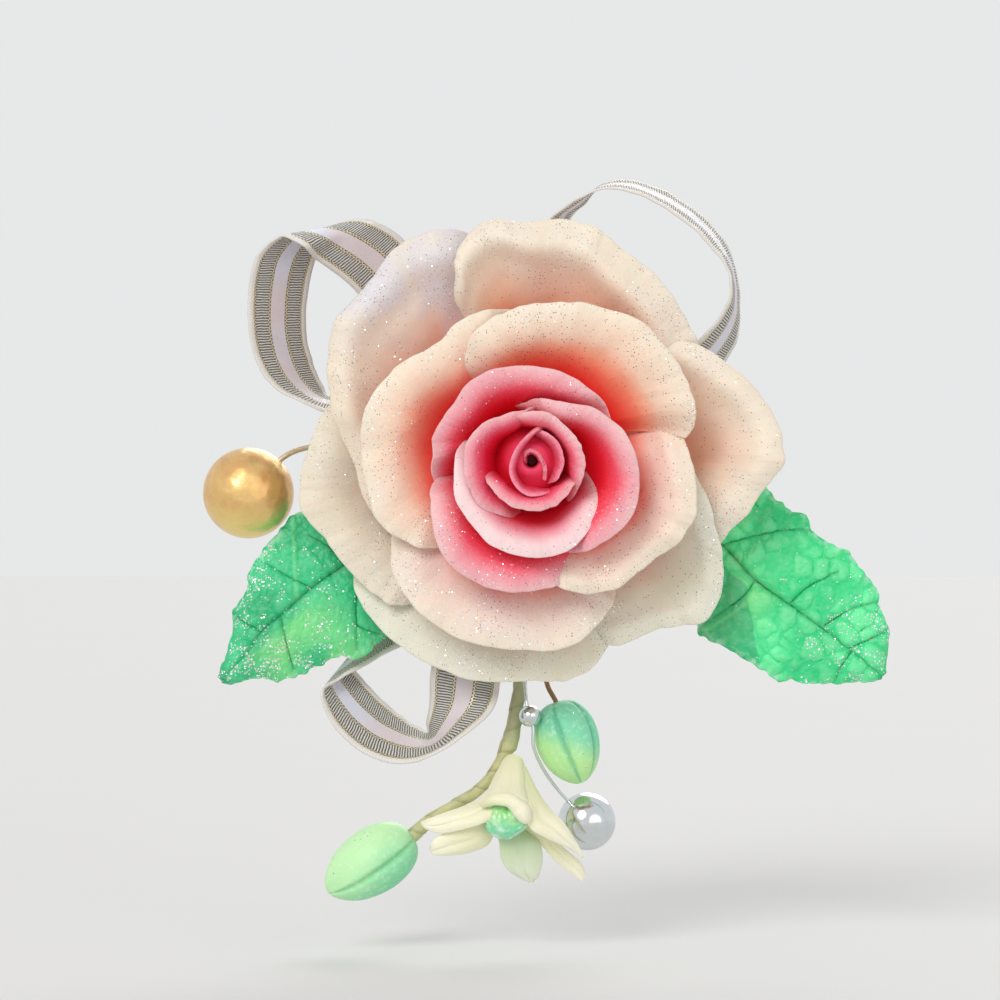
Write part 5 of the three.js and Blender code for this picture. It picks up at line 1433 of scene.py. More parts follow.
def build_leaf(name, leaf, settings, finish):
    place = leaf_place(leaf)
    length = leaf["length"]
    _, _, side = leaf_frame(leaf)
    tree, marks = vein_tree(leaf, leaf["veins"])
    crease_tree, _ = vein_tree(leaf, leaf["creases"])
    puff_height = settings.puff / MM * leaf["relief"]
    vein_depth = settings.vein_depth / MM

    def relief(across, along):
        sideways = side_distance(leaf, across, along)
        here = Vector((along * length, sideways * length, 0))
        _, nearest, away = tree.find(here)
        _, depth, width = marks[nearest]
        groove = depth * math.exp(-((away / width) ** 2))
        _, _, away = crease_tree.find(here)
        crease = math.exp(-((away / CREASE_WIDTH) ** 2))
        strayed = here + Vector((lumps(here, 2.5, 1), lumps(here, 2.5, 5), 0)) * 0.8
        distances, _ = noise.voronoi(strayed / PUFF_SIZE + Vector((length, 0, 0)))
        puff = ease(distances[1] - distances[0], 0, 0.5)
        return groove, puff, crease, patch_at(leaf, along, sideways)

    def bent(across, along):
        groove, puff, crease, _ = relief(across, along)
        here = place(across, along)
        share = across * 2 - 1
        lively = ease(along, 0.05, 0.25)
        wave = lumps(here, 8, length) * 0.5 + lumps(here, 2.2, length) * 0.12
        edge = abs(share) ** 6 * lumps(here, 3.5, length + 4) * 0.9
        here += side * (share * abs(share) ** 3 * 0.5 * lumps(here, 1.3, length))
        height = puff_height * (puff - 0.5) * (1 - groove) - vein_depth * groove + 0.15 * crease
        return here + FORWARD * (height + (wave + edge) * lively * 0.55)

    bm = grid(bent, *LEAF_GRID)
    for index, mark in enumerate(("vein", "puff", "crease", "patch")):
        store(bm, mark, lambda across, along, index=index: relief(across, along)[index])
    weigh(bm, lambda across, along: 1 - abs(across * 2 - 1) ** 4)
    made = piece(name + "_modelled", bm, finish, "leaf_green", replaces=[name])
    made.vertex_groups.new(name="Body")
    solidify(made, LEAF_THICKNESS, 0.5, "Body")


def leaf_wire_route(leaf):
    place = leaf_place(leaf)
    behind = LEAF_THICKNESS / 2 + GAP + LEAF_WIRE_RADIUS
    along = [place(0.5, share) - FORWARD * behind for share in (0.02, 0.12, 0.25, 0.4)]
    return [*base_root(leaf["root_angle"]), *along]


def build_leaves(settings):
    tones = {
        "leaf_left": (settings.deep, settings.bright, settings.pale),
        "leaf_right": (settings.right_deep, settings.right_bright, settings.right_pale),
    }
    covered = wire_finish("leaf_wire_paper", rgb(120, 150, 84), rgb(84, 110, 58), 0, 0.6)
    for name, leaf in LEAVES.items():
        finish = leaf_finish(name + "_clay", tones[name], settings.vein, **leaf["clay"])
        build_leaf(name, leaf, settings, finish)
        route = smooth_line(leaf_wire_route(leaf))
        bm = tube(route, paper_radius(LEAF_WIRE_RADIUS), 16, 160)
        piece(name + "_wire_paper", bm, covered, "wire", replaces=[name + "_wire"])


def paper_radius(radius):
    """A wire's radius with the ridge of the paper strip that is wound round it."""

    def size(turn, along):
        ridge = (along * 26 - turn) % 1
        return radius * (1 + 0.1 * ease(ridge, 0, 0.2) * (1 - ridge))

    return size


# Pearl, sprig and blossom


def bead(centre, radius, pole, hole, around=72, down=48):
    """A ball whose wire hole is sunk round the ends of a pole."""
    bm = bmesh.new()
    bm.loops.layers.uv.verify()
    bmesh.ops.create_uvsphere(bm, u_segments=around, v_segments=down, radius=1, calc_uvs=True)
    turn_to = Vector((0, 0, 1)).rotation_difference(pole.normalized())
    for vert in bm.verts:
        way = vert.co.normalized()
        off = math.hypot(way.x, way.y) * radius
        sink = 0.6 * hole * (1 - ease(off, hole * 0.7, hole * 1.6))
        vert.co = (centre + turn_to @ (way * (radius - sink))) * MM
    return bm


def wire_stop(centre, before, radius):
    return centre - (centre - before).normalized() * (0.5 * radius)


# Buds: foot and tip, sizes in millimetres, folds as a turn, the ways along where each starts and
# ends and its twist, clay colours (the last is painted shade in the folds) and the slant at which
# they change.
BUDS = {
    "bud_left": {
        "ends": ((-0.495, -1.565, -0.035), (-0.858, -1.802, 0)),
        "length": 16.5,
        "radius": 5.4,
        "folds": [(0.28, 0.02, 1.1, 0.03), (0.6, 0.1, 1.1, 0), (0.93, 0.1, 1.1, 0.03)],
        "clay": "left_bud_clay",
        "colours": ((200, 246, 186), (124, 218, 166), (92, 184, 118)),
        "slant": (-26.4, -65.7, 1, -1),
    },
    "bud_right": {
        "ends": ((0.108, -1.008, -0.1), (0.217, -1.356, -0.083)),
        "length": 13.9,
        "radius": 5.2,
        "folds": [(0.2, 0.02, 1.1, 0.05), (0.42, 0.05, 0.9, -0.03), (0.75, 0.1, 1.1, 0)],
        "clay": "right_bud_clay",
        "colours": ((190, 242, 160), (132, 222, 180), (70, 176, 140)),
        "slant": (6.2, -47.2, 0.8, 2.4),
    },
}
FOLD_DEPTH = 0.11
# Where the stem and the wires enter the base, in degrees round the axis.
PEARL_WIRE_ROOT = 183
STEM_ROOT = -94
BUD_WIRE_ROOT = -82
SILVER_WIRE_ROOT = -90
PEARL = (-1.177, -0.131, 0.017)
PEARL_WIRE = ((-0.65, 0.07, -0.09), (-0.932, 0.06, -0.06), (-1.03, 0.02, -0.02))
BUD_WIRE = ((0.066, -0.749, -0.133), (0.07, -0.93, -0.133))
STEM_SHARES = [
    (-0.039, -0.7, -0.133), (-0.043, -0.938, -0.133), (-0.06, -1.043, -0.133),
    (-0.077, -1.147, -0.12), (-0.112, -1.231, -0.1), (-0.161, -1.315, -0.09),
    (-0.219, -1.377, -0.083), (-0.316, -1.438, -0.067), (-0.42, -1.5, -0.05),
]
# Shares of the stem's radius along it: it thickens to the fork, where the blossom's stalk leaves.
STEM_SWELL = [
    (0, 0.9), (0.33, 0.9), (0.4, 1.02), (0.46, 1.2), (0.5, 0.85), (0.54, 0.75), (0.8, 0.76),
    (0.9, 0.95), (1, 0.95),
]
SILVER_UPPER = [(-0.027, -0.747, -0.05), (-0.023, -0.922, -0.03), (-0.014, -1.016, 0)]
# Shares of the right bud's length and radius: along it, to its left and forward.
SILVER_LOWER = [
    (0.206, 0.927, 0.673), (0.4, 1.082, 0.654), (0.653, 1.036, 0.457), (0.925, 0.835, 0.142),
]
SMALL_BEAD = (-0.002, -1.062, 0.015)
# From the right bud's tip: along it, to its left and forward, in shares of the bead's radius.
LARGE_BEAD = (1.328, 0.218, -0.469)
BUD_OUTLINE = [
    (0, 0), (0.34, 0.01), (0.66, 0.08), (0.9, 0.22), (1, 0.4), (0.96, 0.58), (0.8, 0.76),
    (0.52, 0.9), (0.2, 0.985), (0, 1),
]
TUBE_OUTLINE = [
    (0, 0), (0.28, 0.02), (0.56, 0.35), (0.78, 0.72), (1, 1), (0.8, 1), (0.5, 0.73), (0, 0.68),
]
DROP_OUTLINE = [(0, 0), (0.6, 0.05), (0.9, 0.25), (1, 0.5), (0.88, 0.78), (0.5, 0.96), (0, 1)]
APEX = (-0.068, -1.235, -0.055)
THROAT = (-0.102, -1.455, 0.133)
BLOSSOM_PETALS = {
    "blossom_petal_upper_left": {
        "root": ((-0.137, -1.295, 0), (-0.09, -1.36, 0.12)),
        "edges": [
            ((-0.187, -1.386, 0.06), (-0.13, -1.45, 0.24)),
            ((-0.27, -1.43, 0.09), (-0.187, -1.494, 0.2)),
            ((-0.356, -1.461, 0.08), (-0.273, -1.524, 0.15)),
            ((-0.42, -1.485, 0.07), (-0.372, -1.545, 0.1)),
            ((-0.461, -1.501, 0.07), (-0.442, -1.526, 0.07)),
        ],
    },
    "blossom_petal_lower_left": {
        "turn": 215,
        "edges": [
            ((-0.27, -1.525, 0.1), (-0.17, -1.59, 0.03)),
            ((-0.345, -1.542, 0.08), (-0.245, -1.628, 0.03)),
            ((-0.39, -1.562, 0.07), (-0.32, -1.641, 0.03)),
            ((-0.412, -1.59, 0.06), (-0.38, -1.64, 0.04)),
            ((-0.42, -1.618, 0.05), (-0.412, -1.63, 0.05)),
        ],
    },
    "blossom_petal_bottom": {
        "turn": 270,
        "edges": [
            ((-0.133, -1.58, 0.05), (0.04, -1.59, 0.05)),
            ((-0.125, -1.651, 0.04), (0.052, -1.648, 0.04)),
            ((-0.098, -1.7, 0.03), (0.044, -1.7, 0.03)),
            ((-0.045, -1.738, 0.02), (0.03, -1.735, 0.02)),
            ((-0.005, -1.755, 0.02), (0.01, -1.755, 0.02)),
        ],
    },
    "blossom_petal_lower_right": {
        "turn": 325,
        "edges": [
            ((0.045, -1.6, 0.02), (0.09, -1.565, 0.04)),
            ((0.103, -1.667, 0), (0.155, -1.625, 0)),
            ((0.164, -1.718, -0.02), (0.205, -1.668, -0.02)),
            ((0.195, -1.742, -0.03), (0.224, -1.7, -0.03)),
            ((0.214, -1.757, -0.03), (0.226, -1.745, -0.03)),
        ],
    },
    "blossom_petal_upper_right": {
        "root": ((-0.06, -1.29, 0.05), (-0.026, -1.265, -0.02)),
        "edges": [
            ((-0.05, -1.37, 0.12), (0.008, -1.332, 0.03)),
            ((-0.03, -1.45, 0.23), (0.054, -1.408, 0.1)),
            ((0, -1.52, 0.23), (0.093, -1.454, 0.13)),
            ((0.06, -1.557, 0.2), (0.137, -1.497, 0.15)),
            ((0.11, -1.582, 0.17), (0.176, -1.557, 0.14)),
            ((0.165, -1.61, 0.14), (0.205, -1.607, 0.13)),
            ((0.213, -1.645, 0.13), (0.22, -1.643, 0.13)),
        ],
    },
}
# The front petal is curled into a lip over the drop. Its widths are radii in millimetres.
CURLED_LIP = [
    (-0.2, -1.422, 0.2), (-0.168, -1.4, 0.25), (-0.127, -1.392, 0.28), (-0.086, -1.399, 0.28),
    (-0.053, -1.423, 0.27), (-0.03, -1.455, 0.26), (-0.02, -1.488, 0.22),
]
LIP_WIDTHS = [(0, 0.5), (0.15, 0.95), (0.45, 1.15), (0.75, 1.4), (0.9, 1.2), (1, 0.6)]
BLADE_GRID = (18, 40)
BLADE_THICKNESS = 0.8
# The modelled drop against its CAD size, and where the cup's floor lies along the tube.
DROP_SWELL = 1.36
DROP_STRETCH = 1.12
CUP_FLOOR = 0.68


def bud_hold(bud):
    """Where the wire or stem ends inside a bud."""
    start = spot(bud["ends"][0])
    return start + (spot(bud["ends"][1]) - start).normalized() * (0.2 * bud["length"])


def from_right_bud(along, left, forward):
    ends = BUDS["bud_right"]["ends"]
    start = spot(ends[0])
    way = (spot(ends[1]) - start).normalized()
    left_way = way.cross(FORWARD).normalized()
    return start + way * along + left_way * left + left_way.cross(way) * forward


def build_pearl(sprig):
    centre = spot(PEARL)
    approach = [spot(shares) for shares in PEARL_WIRE]
    stop = wire_stop(centre, approach[-1], GOLD_PEARL_RADIUS)
    gold = gold_finish(sprig)
    bm = bead(centre, GOLD_PEARL_RADIUS, centre - approach[-1], 0.8)
    piece("gold_pearl_lacquered", bm, gold, "gold_pearl", replaces=["gold_pearl"])
    brown = wire_finish("pearl_wire_lacquer", rgb(236, 222, 190), rgb(176, 148, 110), 0.4, 0.35)
    route = smooth_line([*base_root(PEARL_WIRE_ROOT), *approach, stop])
    bm = tube(route, PEARL_WIRE_RADIUS, 14, 90)
    piece("pearl_wire_lacquered", bm, brown, "wire", replaces=["pearl_wire"])


def bud_detail(folds):
    """Scales a bud's radius at its long folds."""

    def detail(turn, along):
        groove = 0.0
        for at, start, end, twist in folds:
            away = half_turn(TURN * (turn - at - twist * along))
            deep = ease(along, start, start + 0.15) * (1 - ease(along, end - 0.12, end))
            groove = max(groove, deep * math.exp(-((away / 0.1) ** 2)))
        puffed = 0.02 * math.sin(TURN * turn * 3 + 1) * ease(along, 0.1, 0.4)
        return 1 + puffed - FOLD_DEPTH * groove

    return detail


def build_bud(name, bud):
    finish = bud_finish(bud["clay"], *[rgb(*colour) for colour in bud["colours"]], bud["slant"])
    start = spot(bud["ends"][0])
    profile = [(r * bud["radius"], h * bud["length"]) for r, h in BUD_OUTLINE]
    detail = bud_detail(bud["folds"])
    bm = turned(profile, start, spot(bud["ends"][1]) - start, 96, 64, detail)
    store(bm, "fold", lambda turn, along: (1 - detail(turn, along)) / FOLD_DEPTH)
    piece(name + "_modelled", bm, finish, "bud_green", replaces=[name])


def build_stem(sprig):
    bud = BUDS["bud_left"]
    places = [spot(shares) for shares in (*STEM_SHARES, bud["ends"][0])]
    route = smooth_line([*base_root(STEM_ROOT), *places, bud_hold(bud)])

    def wound(turn, along):
        return (along * 12 - turn + 0.06 * math.sin(along * 37)) % 1

    def taped(turn, along):
        ridge = wound(turn, along)
        swell = table_at(STEM_SWELL, along) + 0.04 * lumps((along * 40, turn, 0), 1)
        round_it = (math.cos(TURN * turn) * 3, along * 26, math.sin(TURN * turn) * 3)
        crease = 0.05 * lumps(round_it, 1, 4.0)
        overlap = 0.07 * ease(ridge, 0, 0.8) * (1 - ease(ridge, 0.92, 1))
        return STEM_RADIUS * (swell + crease + overlap)

    bm = tube(route, taped, 28, 300)
    store(bm, "wound", wound)
    piece("sprig_stem_taped", bm, tape_finish(sprig), "stem_tape", replaces=["sprig_stem"])


def build_bud_wire():
    brown = wire_finish("bud_wire_paper", rgb(176, 132, 92), rgb(120, 84, 52), 0.1, 0.5)
    bud = BUDS["bud_right"]
    places = [spot(shares) for shares in (*BUD_WIRE, bud["ends"][0])]
    route = smooth_line([*base_root(BUD_WIRE_ROOT), *places, bud_hold(bud)])
    bm = tube(route, paper_radius(BUD_WIRE_RADIUS * 0.95), 14, 140)
    piece("bud_right_wire_paper", bm, brown, "wire", replaces=["bud_right_wire"])


def build_silver():
    """The silver wire with its small and its large bead."""
    bright = silver_finish("silver_bead_plating", 0.07)
    small = spot(SMALL_BEAD)
    length, radius = BUDS["bud_right"]["length"], BUDS["bud_right"]["radius"]
    lower = [from_right_bud(a * length, l * radius, f * radius) for a, l, f in SILVER_LOWER]
    along, aside, forward = (share * LARGE_BEAD_RADIUS for share in LARGE_BEAD)
    large = from_right_bud(length + along, aside, forward)
    stop = wire_stop(large, lower[-1], LARGE_BEAD_RADIUS)
    approach = [*[spot(shares) for shares in SILVER_UPPER], small, *lower]
    route = smooth_line([*base_root(SILVER_WIRE_ROOT, 0.78), *approach, stop])
    bm = tube(route, SILVER_WIRE_RADIUS, 12, 160)
    silver_wire = silver_finish("silver_wire_plating", 0.22)
    piece("silver_wire_drawn", bm, silver_wire, "silver", replaces=["silver_wire"])
    bm = bead(small, SMALL_BEAD_RADIUS, lower[0] - spot(SILVER_UPPER[-1]), 0.45, 48, 32)
    piece("silver_bead_small_plated", bm, bright, "silver", replaces=["silver_bead_small"])
    bm = bead(large, LARGE_BEAD_RADIUS, large - lower[-1], 0.55)
    piece("silver_bead_large_plated", bm, bright, "silver", replaces=["silver_bead_large"])


def blossom_axis():
    apex = spot(APEX)
    return apex, (spot(THROAT) - apex).normalized()


def rim_point(degrees):
    apex, way = blossom_axis()
    upward = (FORWARD - way * way.dot(FORWARD)).normalized()
    rightward = upward.cross(way)
    turn = degrees * DEGREE
    out = rightward * math.cos(turn) + upward * math.sin(turn)
    return apex + way * (TUBE_LENGTH + GAP) + out * THROAT_RADIUS


def blade_place(petal):
    if "root" in petal:
        pairs = [tuple(spot(shares) for shares in petal["root"])]
        seed = 1.0
    else:
        seed = petal["turn"]
        pairs = [(rim_point(seed - 36), rim_point(seed + 36))]
    pairs += [(spot(first), spot(second)) for first, second in petal["edges"]]
    first = smooth_line([pair[0] for pair in pairs])
    second = smooth_line([pair[1] for pair in pairs])

    def place(across, along):
        start, end = first(along), second(along)
        cup = 0.12 * (start - end).length * math.sin(math.pi * across)
        crease = 0.28 * math.exp(-(((across - 0.5) / 0.09) ** 2)) * ease(along, 0.1, 0.4)
        wave = 0.14 * lumps((across * 4, along * 3, seed), 1)
        return start.lerp(end, across) + FORWARD * (cup - crease + wave)

    return place


def build_blossom(sprig):
    cream = blossom_finish("blossom_cream_clay", sprig.blossom_root, sprig.blossom)
    cool = blossom_finish("blossom_cool_clay", rgb(192, 212, 172), rgb(222, 228, 206))
    apex, way = blossom_axis()
    profile = [(r * THROAT_RADIUS, h * TUBE_LENGTH) for r, h in TUBE_OUTLINE]

    def fluted(turn, along):
        return 1 + 0.035 * math.cos(TURN * (turn * 6)) * ease(along, 0.1, 0.4)

    bm = turned(profile, apex, way, 72, 64, fluted)
    piece("blossom_tube_modelled", bm, cream, "blossom_cream", replaces=["blossom_tube"])
    for name, petal in BLOSSOM_PETALS.items():
        bm = grid(blade_place(petal), *BLADE_GRID)
        weigh(bm, lambda across, along: 1 - max(abs(across * 2 - 1) ** 3, ease(along, 0.6, 1)))
        finish = cool if name == "blossom_petal_bottom" else cream
        made = piece(name + "_modelled", bm, finish, "blossom_cream", replaces=[name])
        made.vertex_groups.new(name="Body")
        solidify(made, BLADE_THICKNESS, 0.45, "Body")
        subdivide(made)

    def curled(turn, along):
        uneven = lumps((math.cos(TURN * turn), math.sin(TURN * turn), along * 5), 1)
        return table_at(LIP_WIDTHS, along) * (1 + 0.12 * uneven)

    bm = tube(smooth_line([spot(shares) for shares in CURLED_LIP]), curled, 28, 60)
    front = "blossom_petal_front"
    piece(front + "_curled", bm, cream, "blossom_cream", replaces=[front])

    start = apex + way * (CUP_FLOOR * TUBE_LENGTH + GAP)
    profile = [(r * DROP_RADIUS, h * DROP_LENGTH * DROP_STRETCH) for r, h in DROP_OUTLINE]

    def lumpy(turn, along):
        angle = TURN * turn
        here = Vector((math.cos(angle) * 2.2, math.sin(angle) * 2.2, along * 4))
        distances, _ = noise.voronoi(here)
        seam = 1 - ease(distances[1] - distances[0], 0, 0.35)
        return DROP_SWELL + 0.22 * lumps(here, 1, 2.0) - 0.16 * seam

    bm = turned(profile, start, way, 72, 48, lumpy)
    piece("blossom_centre_resin", bm, drop_finish(), "blossom_drop", replaces=["blossom_centre"])


# Backing and bar pin


PAD_OUTLINE = [(0, 0), (0.5, 0), (0.965, 0), (1, 0.3), (1, 0.75), (0.975, 1), (0.5, 1), (0, 1)]
# Thread through each hole of the bar: right in millimetres, how far it stands behind the pad, and
# up or down from the middle of the bar.
HOLE_PLACES = (-9.5, 0, 9.5)
THREAD_RADIUS = 0.2
STITCH = [
    (0, -0.5, 0),
    (0, 0.6, 0.15),
    (0.2, BAR_THICKNESS + 0.28, 0.9),
    (0.3, BAR_THICKNESS + 0.24, 2.2),
    (0.35, 0.5, 2.9),
    (0.35, -0.5, 3),
]


def build_backing(backing):
    felt = felt_finish(backing)
    profile = [(r * PAD_RADIUS, h * PAD_THICKNESS) for r, h in PAD_OUTLINE]

    def cut(turn, along):
        angle = TURN * turn
        return 1 + 0.006 * lumps((math.cos(angle) * 12, math.sin(angle) * 12, 0), 1)

    bm = turned(profile, Vector((0, 0, 0)), FORWARD, 160, 70, cut)
    made = piece("felt_pad_pressed", bm, felt, "felt", replaces=["felt_pad"])

    finished("flower_base", 0.5, plain_clay_finish(), "clay_plain")
    finished("rose_core", 0.3, heart_finish(), "clay_plain")
    steel = steel_finish()
    for node in ("pin_bar", "hinge_bracket", "hinge_rivet", "catch_shell"):
        finished(node, 0.08, steel, "pin_steel")
    finished("pin_stem", 0.06, steel, "pin_steel", "pin_stem")
    finished("catch_collar", 0.06, steel, "pin_steel", "catch_collar")


def build_stitches():
    """Thread through the bar's three holes and round its edges into the felt."""
    thread = thread_finish()
    for index, hole in enumerate(HOLE_PLACES):
        for turn, side in enumerate((-1, 1)):
            points = [(hole + x, behind, BAR_RISE + side * up) for x, behind, up in STITCH]
            bm = tube(smooth_line(points), THREAD_RADIUS, 8, 28)
            piece(f"bar_stitch_{index + 1}_{turn + 1}", bm, thread, "felt")


# Stage

# Where each lamp stands in metres, and how wide its light is in degrees.
LAMPS = {
    "key": ((-0.85, -1.9, 1.2), 28),
    "fill": ((1.2, -1.8, 0.2), 50),
    "rear": ((0.5, 1.8, 1.2), 40),
}
LAMP_WHITE = (1, 0.985, 0.97)
FLOOR_HALF_WIDTH = 3
CAMERA_PLACE = (-0.00496, -0.62, -0.00624)
CAMERA_LENS = 135
CAMERA_SENSOR = 36


def build_floor(stage):
    bm = bmesh.new()
    bmesh.ops.create_grid(bm, x_segments=1, y_segments=1, size=FLOOR_HALF_WIDTH)
    bmesh.ops.translate(bm, verts=bm.verts, vec=(0, 0, stage.floor_height))
    mesh = bpy.data.meshes.new("floor")
    bm.to_mesh(mesh)
    bm.free()
    floor = bpy.data.objects.new("floor", mesh)
    bpy.context.scene.collection.objects.link(floor)
    shader = Shader("floor_paint")
    shade = shader.mix(shader.clouds(60, 2) * 0.1, stage.floor, rgb(214, 214, 216))
    mesh.materials.append(shader.set(Base_Color=shade, Roughness=0.8))


def build_room(stage):
    """Even light from all round, and a pale backdrop for the camera, for metal and for glass."""
    world = bpy.data.worlds.new("studio")
    bpy.context.scene.world = world
    world.use_nodes = True
    world.node_tree.nodes.clear()
    room = Nodes(world.node_tree)
    lit = room.node("Background", None, {"Color": LAMP_WHITE, "Strength": stage.ambient})[0]
    seen = room.node("Background", None, {"Color": stage.backdrop, "Strength": 1})[0]
    ray = room.node("LightPath")
    shown = ray["Is Camera Ray"].most(ray["Is Transmission Ray"]).most(ray["Is Glossy Ray"])
    both = room.node("MixShader", None, {0: shown, 1: lit, 2: seen})[0]
    room.node("OutputWorld", None, {"Surface": both})


def build_stage(stage):
    scene = bpy.context.scene
    scene.view_settings.view_transform = "Standard"
    build_floor(stage)
    build_room(stage)
    for name, (place, spread) in LAMPS.items():
        lamp = bpy.data.lights.new(name, "SUN")
        lamp.angle = spread * DEGREE
        lamp.energy = getattr(stage, name)
        held = bpy.data.objects.new(name, lamp)
        held.location = place
        held.rotation_euler = Vector(place).to_track_quat("Z", "Y").to_euler()
        scene.collection.objects.link(held)

    camera = bpy.data.cameras.new("camera")
    camera.lens = CAMERA_LENS
    camera.sensor_width = CAMERA_SENSOR
    held = bpy.data.objects.new("camera", camera)
    held.location = CAMERA_PLACE
    held.rotation_euler = (math.pi / 2, 0, 0)
    scene.collection.objects.link(held)
    scene.camera = held


# Settings


def colour_setting(name, description, default):
    return FloatVectorProperty(
        name=name, description=description, default=default, size=3, min=0, max=1, subtype="COLOR"
    )


def length_setting(name, description, default):
    return FloatProperty(
        name=name,
        description=description,
        default=default * MM,
        min=0,
        precision=5,
        subtype="DISTANCE",
        unit="LENGTH",
    )


def share_setting(name, description, default):
    return FloatProperty(
        name=name, description=description, default=default, min=0, max=2, subtype="FACTOR"
    )


def light_setting(name, description, default):
    return FloatProperty(name=name, description=description, default=default, min=0)


class BroochRoseSettings(bpy.types.PropertyGroup):
    petal_thickness: length_setting("Petal thickness", "Clay thickness at a petal's foot", 0.9)
    rim_share: share_setting("Rim share", "Thickness of a rim as a share of the foot's", 0.7)
    ripple: length_setting("Ripple", "Height of the waves along a rim", 0.8)
    glitter: share_setting("Glitter", "How densely the petals are dusted", 1.0)
    cream: colour_setting("Cream", "Rims of the outer petals", rgb(240, 226, 203))
    pink: colour_setting("Pink", "Rims of the inner petals", rgb(234, 180, 184))


class BroochRibbonSettings(bpy.types.PropertyGroup):
    thickness: length_setting("Thickness", "Thickness of the ribbon", 0.35)
    rib_pitch: FloatProperty(
        name="Rib pitch", description="Millimetres from rib to rib", default=0.43, min=0.2
    )
    grey: colour_setting("Grey", "Ribbed bands", rgb(104, 98, 94))
    satin: colour_setting("Satin", "Middle band", rgb(224, 224, 238))
    gold: colour_setting("Gold", "Metal thread", rgb(232, 220, 178))


class BroochLeafSettings(bpy.types.PropertyGroup):
    vein_depth: length_setting("Vein depth", "Depth of the pressed veins", 0.7)
    puff: length_setting("Puff", "Height of the puffs between the veins", 0.22)
    deep: colour_setting("Left deep", "Darkest green of the left leaf", rgb(14, 176, 112))
    bright: colour_setting("Left bright", "Main green of the left leaf", rgb(50, 202, 134))
    # Left pale is a painted highlight on the puffs.
    pale: colour_setting("Left pale", "Puffs of the left leaf", rgb(84, 218, 150))
    right_deep: colour_setting("Right deep", "Darkest green of the right leaf", rgb(40, 210, 130))
    right_bright: colour_setting("Right bright", "Main green of the right leaf", rgb(84, 238, 156))
    # Right pale is a painted highlight on the puffs.
    right_pale: colour_setting("Right pale", "Puffs of the right leaf", rgb(150, 250, 184))
    # The vein green is painted shade in the pressed grooves.
    vein: colour_setting("Vein", "Green in the veins", rgb(10, 122, 70))


class BroochSprigSettings(bpy.types.PropertyGroup):
    gold: colour_setting("Gold", "Lacquer of the pearl", rgb(222, 176, 104))
    tape: colour_setting("Tape", "Floral tape of the stem", rgb(176, 182, 128))
    blossom: colour_setting("Blossom", "Petals of the small blossom", rgb(250, 246, 220))
    blossom_root: colour_setting("Blossom root", "Foot of each petal", rgb(238, 236, 196))


class BroochBackingSettings(bpy.types.PropertyGroup):
    felt: colour_setting("Felt", "Felt of the pad", rgb(224, 216, 204))


class BroochStageSettings(bpy.types.PropertyGroup):
    floor_height: FloatProperty(
        name="Floor height",
        description="Height of the floor",
        default=-0.08,
        subtype="DISTANCE",
        unit="LENGTH",
    )
    floor: colour_setting("Floor", "Paint of the floor", (0.8, 0.8, 0.8))
    backdrop: colour_setting("Backdrop", "What stands behind the brooch", (0.8, 0.805, 0.81))
    ambient: light_setting("Ambient", "Light from all round", 0.56)
    key: light_setting("Key", "Main lamp", 1.35)
    fill: light_setting("Fill", "Softer lamp", 0.42)
    rear: light_setting("Rear", "Lamp behind", 0.8)


SETTINGS = {
    "brooch_rose": BroochRoseSettings,
    "brooch_ribbon": BroochRibbonSettings,
    "brooch_leaves": BroochLeafSettings,
    "brooch_sprig": BroochSprigSettings,
    "brooch_backing": BroochBackingSettings,
    "brooch_stage": BroochStageSettings,
}


# Operators and panel


class BroochPetals(bpy.types.Operator):
    """Model the clay heart of the rose and its twenty petals"""

    bl_idname = "brooch.petals"
    bl_label = "Rose Petals"

    def execute(self, context):
        build_heart()
        build_petals(context.scene.brooch_rose)
        return {"FINISHED"}


class BroochRibbons(bpy.types.Operator):
    """Fold the three ribbon loops"""

    bl_idname = "brooch.ribbons"
    bl_label = "Ribbon Loops"

    def execute(self, context):
        build_ribbons(context.scene.brooch_ribbon)
        return {"FINISHED"}


class BroochLeaves(bpy.types.Operator):
    """Model the two leaves and their wires"""

    bl_idname = "brooch.leaves"
    bl_label = "Leaves"

    def execute(self, context):
        build_leaves(context.scene.brooch_leaves)
        return {"FINISHED"}


class BroochPearl(bpy.types.Operator):
    """Make the gold pearl and its wire"""

    bl_idname = "brooch.pearl"
    bl_label = "Gold Pearl"

    def execute(self, context):
        build_pearl(context.scene.brooch_sprig)
        return {"FINISHED"}


class BroochSprig(bpy.types.Operator):
    """Make the taped stem, the buds, the silver wire and its beads"""

    bl_idname = "brooch.sprig"
    bl_label = "Sprig"

    def execute(self, context):
        build_stem(context.scene.brooch_sprig)
        for name, bud in BUDS.items():
            build_bud(name, bud)
        build_bud_wire()
        build_silver()
        return {"FINISHED"}


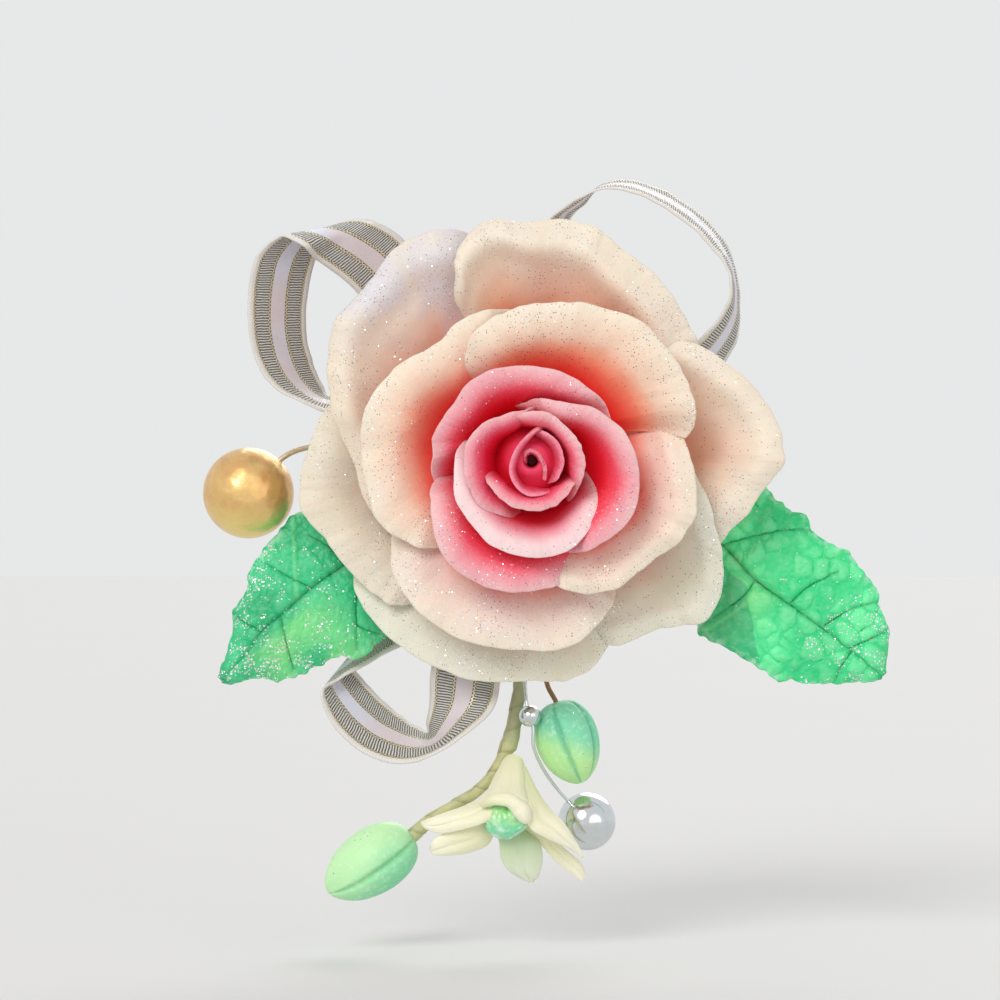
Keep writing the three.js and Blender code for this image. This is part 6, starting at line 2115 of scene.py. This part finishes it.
class BroochBlossom(bpy.types.Operator):
    """Model the small blossom and its drop"""

    bl_idname = "brooch.blossom"
    bl_label = "Blossom"

    def execute(self, context):
        build_blossom(context.scene.brooch_sprig)
        return {"FINISHED"}


class BroochBacking(bpy.types.Operator):
    """Make the felt pad and finish the base, the core and the bar pin"""

    bl_idname = "brooch.backing"
    bl_label = "Backing and Pin"

    def execute(self, context):
        build_backing(context.scene.brooch_backing)
        build_stitches()
        return {"FINISHED"}


class BroochStage(bpy.types.Operator):
    """Set the floor, the lamps and the camera"""

    bl_idname = "brooch.stage"
    bl_label = "Stage"

    def execute(self, context):
        build_stage(context.scene.brooch_stage)
        return {"FINISHED"}


class BroochPanel(bpy.types.Panel):
    """Lists the steps that build the brooch"""

    bl_idname = "VIEW3D_PT_brooch"
    bl_label = "Flower Brooch"
    bl_space_type = "VIEW_3D"
    bl_region_type = "UI"
    bl_category = "Brooch"

    def draw(self, context):
        for name, group in SETTINGS.items():
            box = self.layout.box()
            settings = getattr(context.scene, name)
            for setting in group.__annotations__:
                box.prop(settings, setting)
        for operator in OPERATORS:
            self.layout.operator(operator.bl_idname)


OPERATORS = (
    BroochPetals,
    BroochRibbons,
    BroochLeaves,
    BroochPearl,
    BroochSprig,
    BroochBlossom,
    BroochBacking,
    BroochStage,
)
CLASSES = (*SETTINGS.values(), *OPERATORS, BroochPanel)


def register():
    for made in CLASSES:
        bpy.utils.register_class(made)
    for name, group in SETTINGS.items():
        setattr(bpy.types.Scene, name, PointerProperty(type=group))


def unregister():
    for name in SETTINGS:
        delattr(bpy.types.Scene, name)
    for made in reversed(CLASSES):
        bpy.utils.unregister_class(made)


def main():
    register()
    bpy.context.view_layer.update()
    bpy.ops.brooch.stage()
    bpy.ops.brooch.petals()
    bpy.ops.brooch.ribbons()
    bpy.ops.brooch.leaves()
    bpy.ops.brooch.pearl()
    bpy.ops.brooch.sprig()
    bpy.ops.brooch.blossom()
    bpy.ops.brooch.backing()


if __name__ == "__main__":
    main()
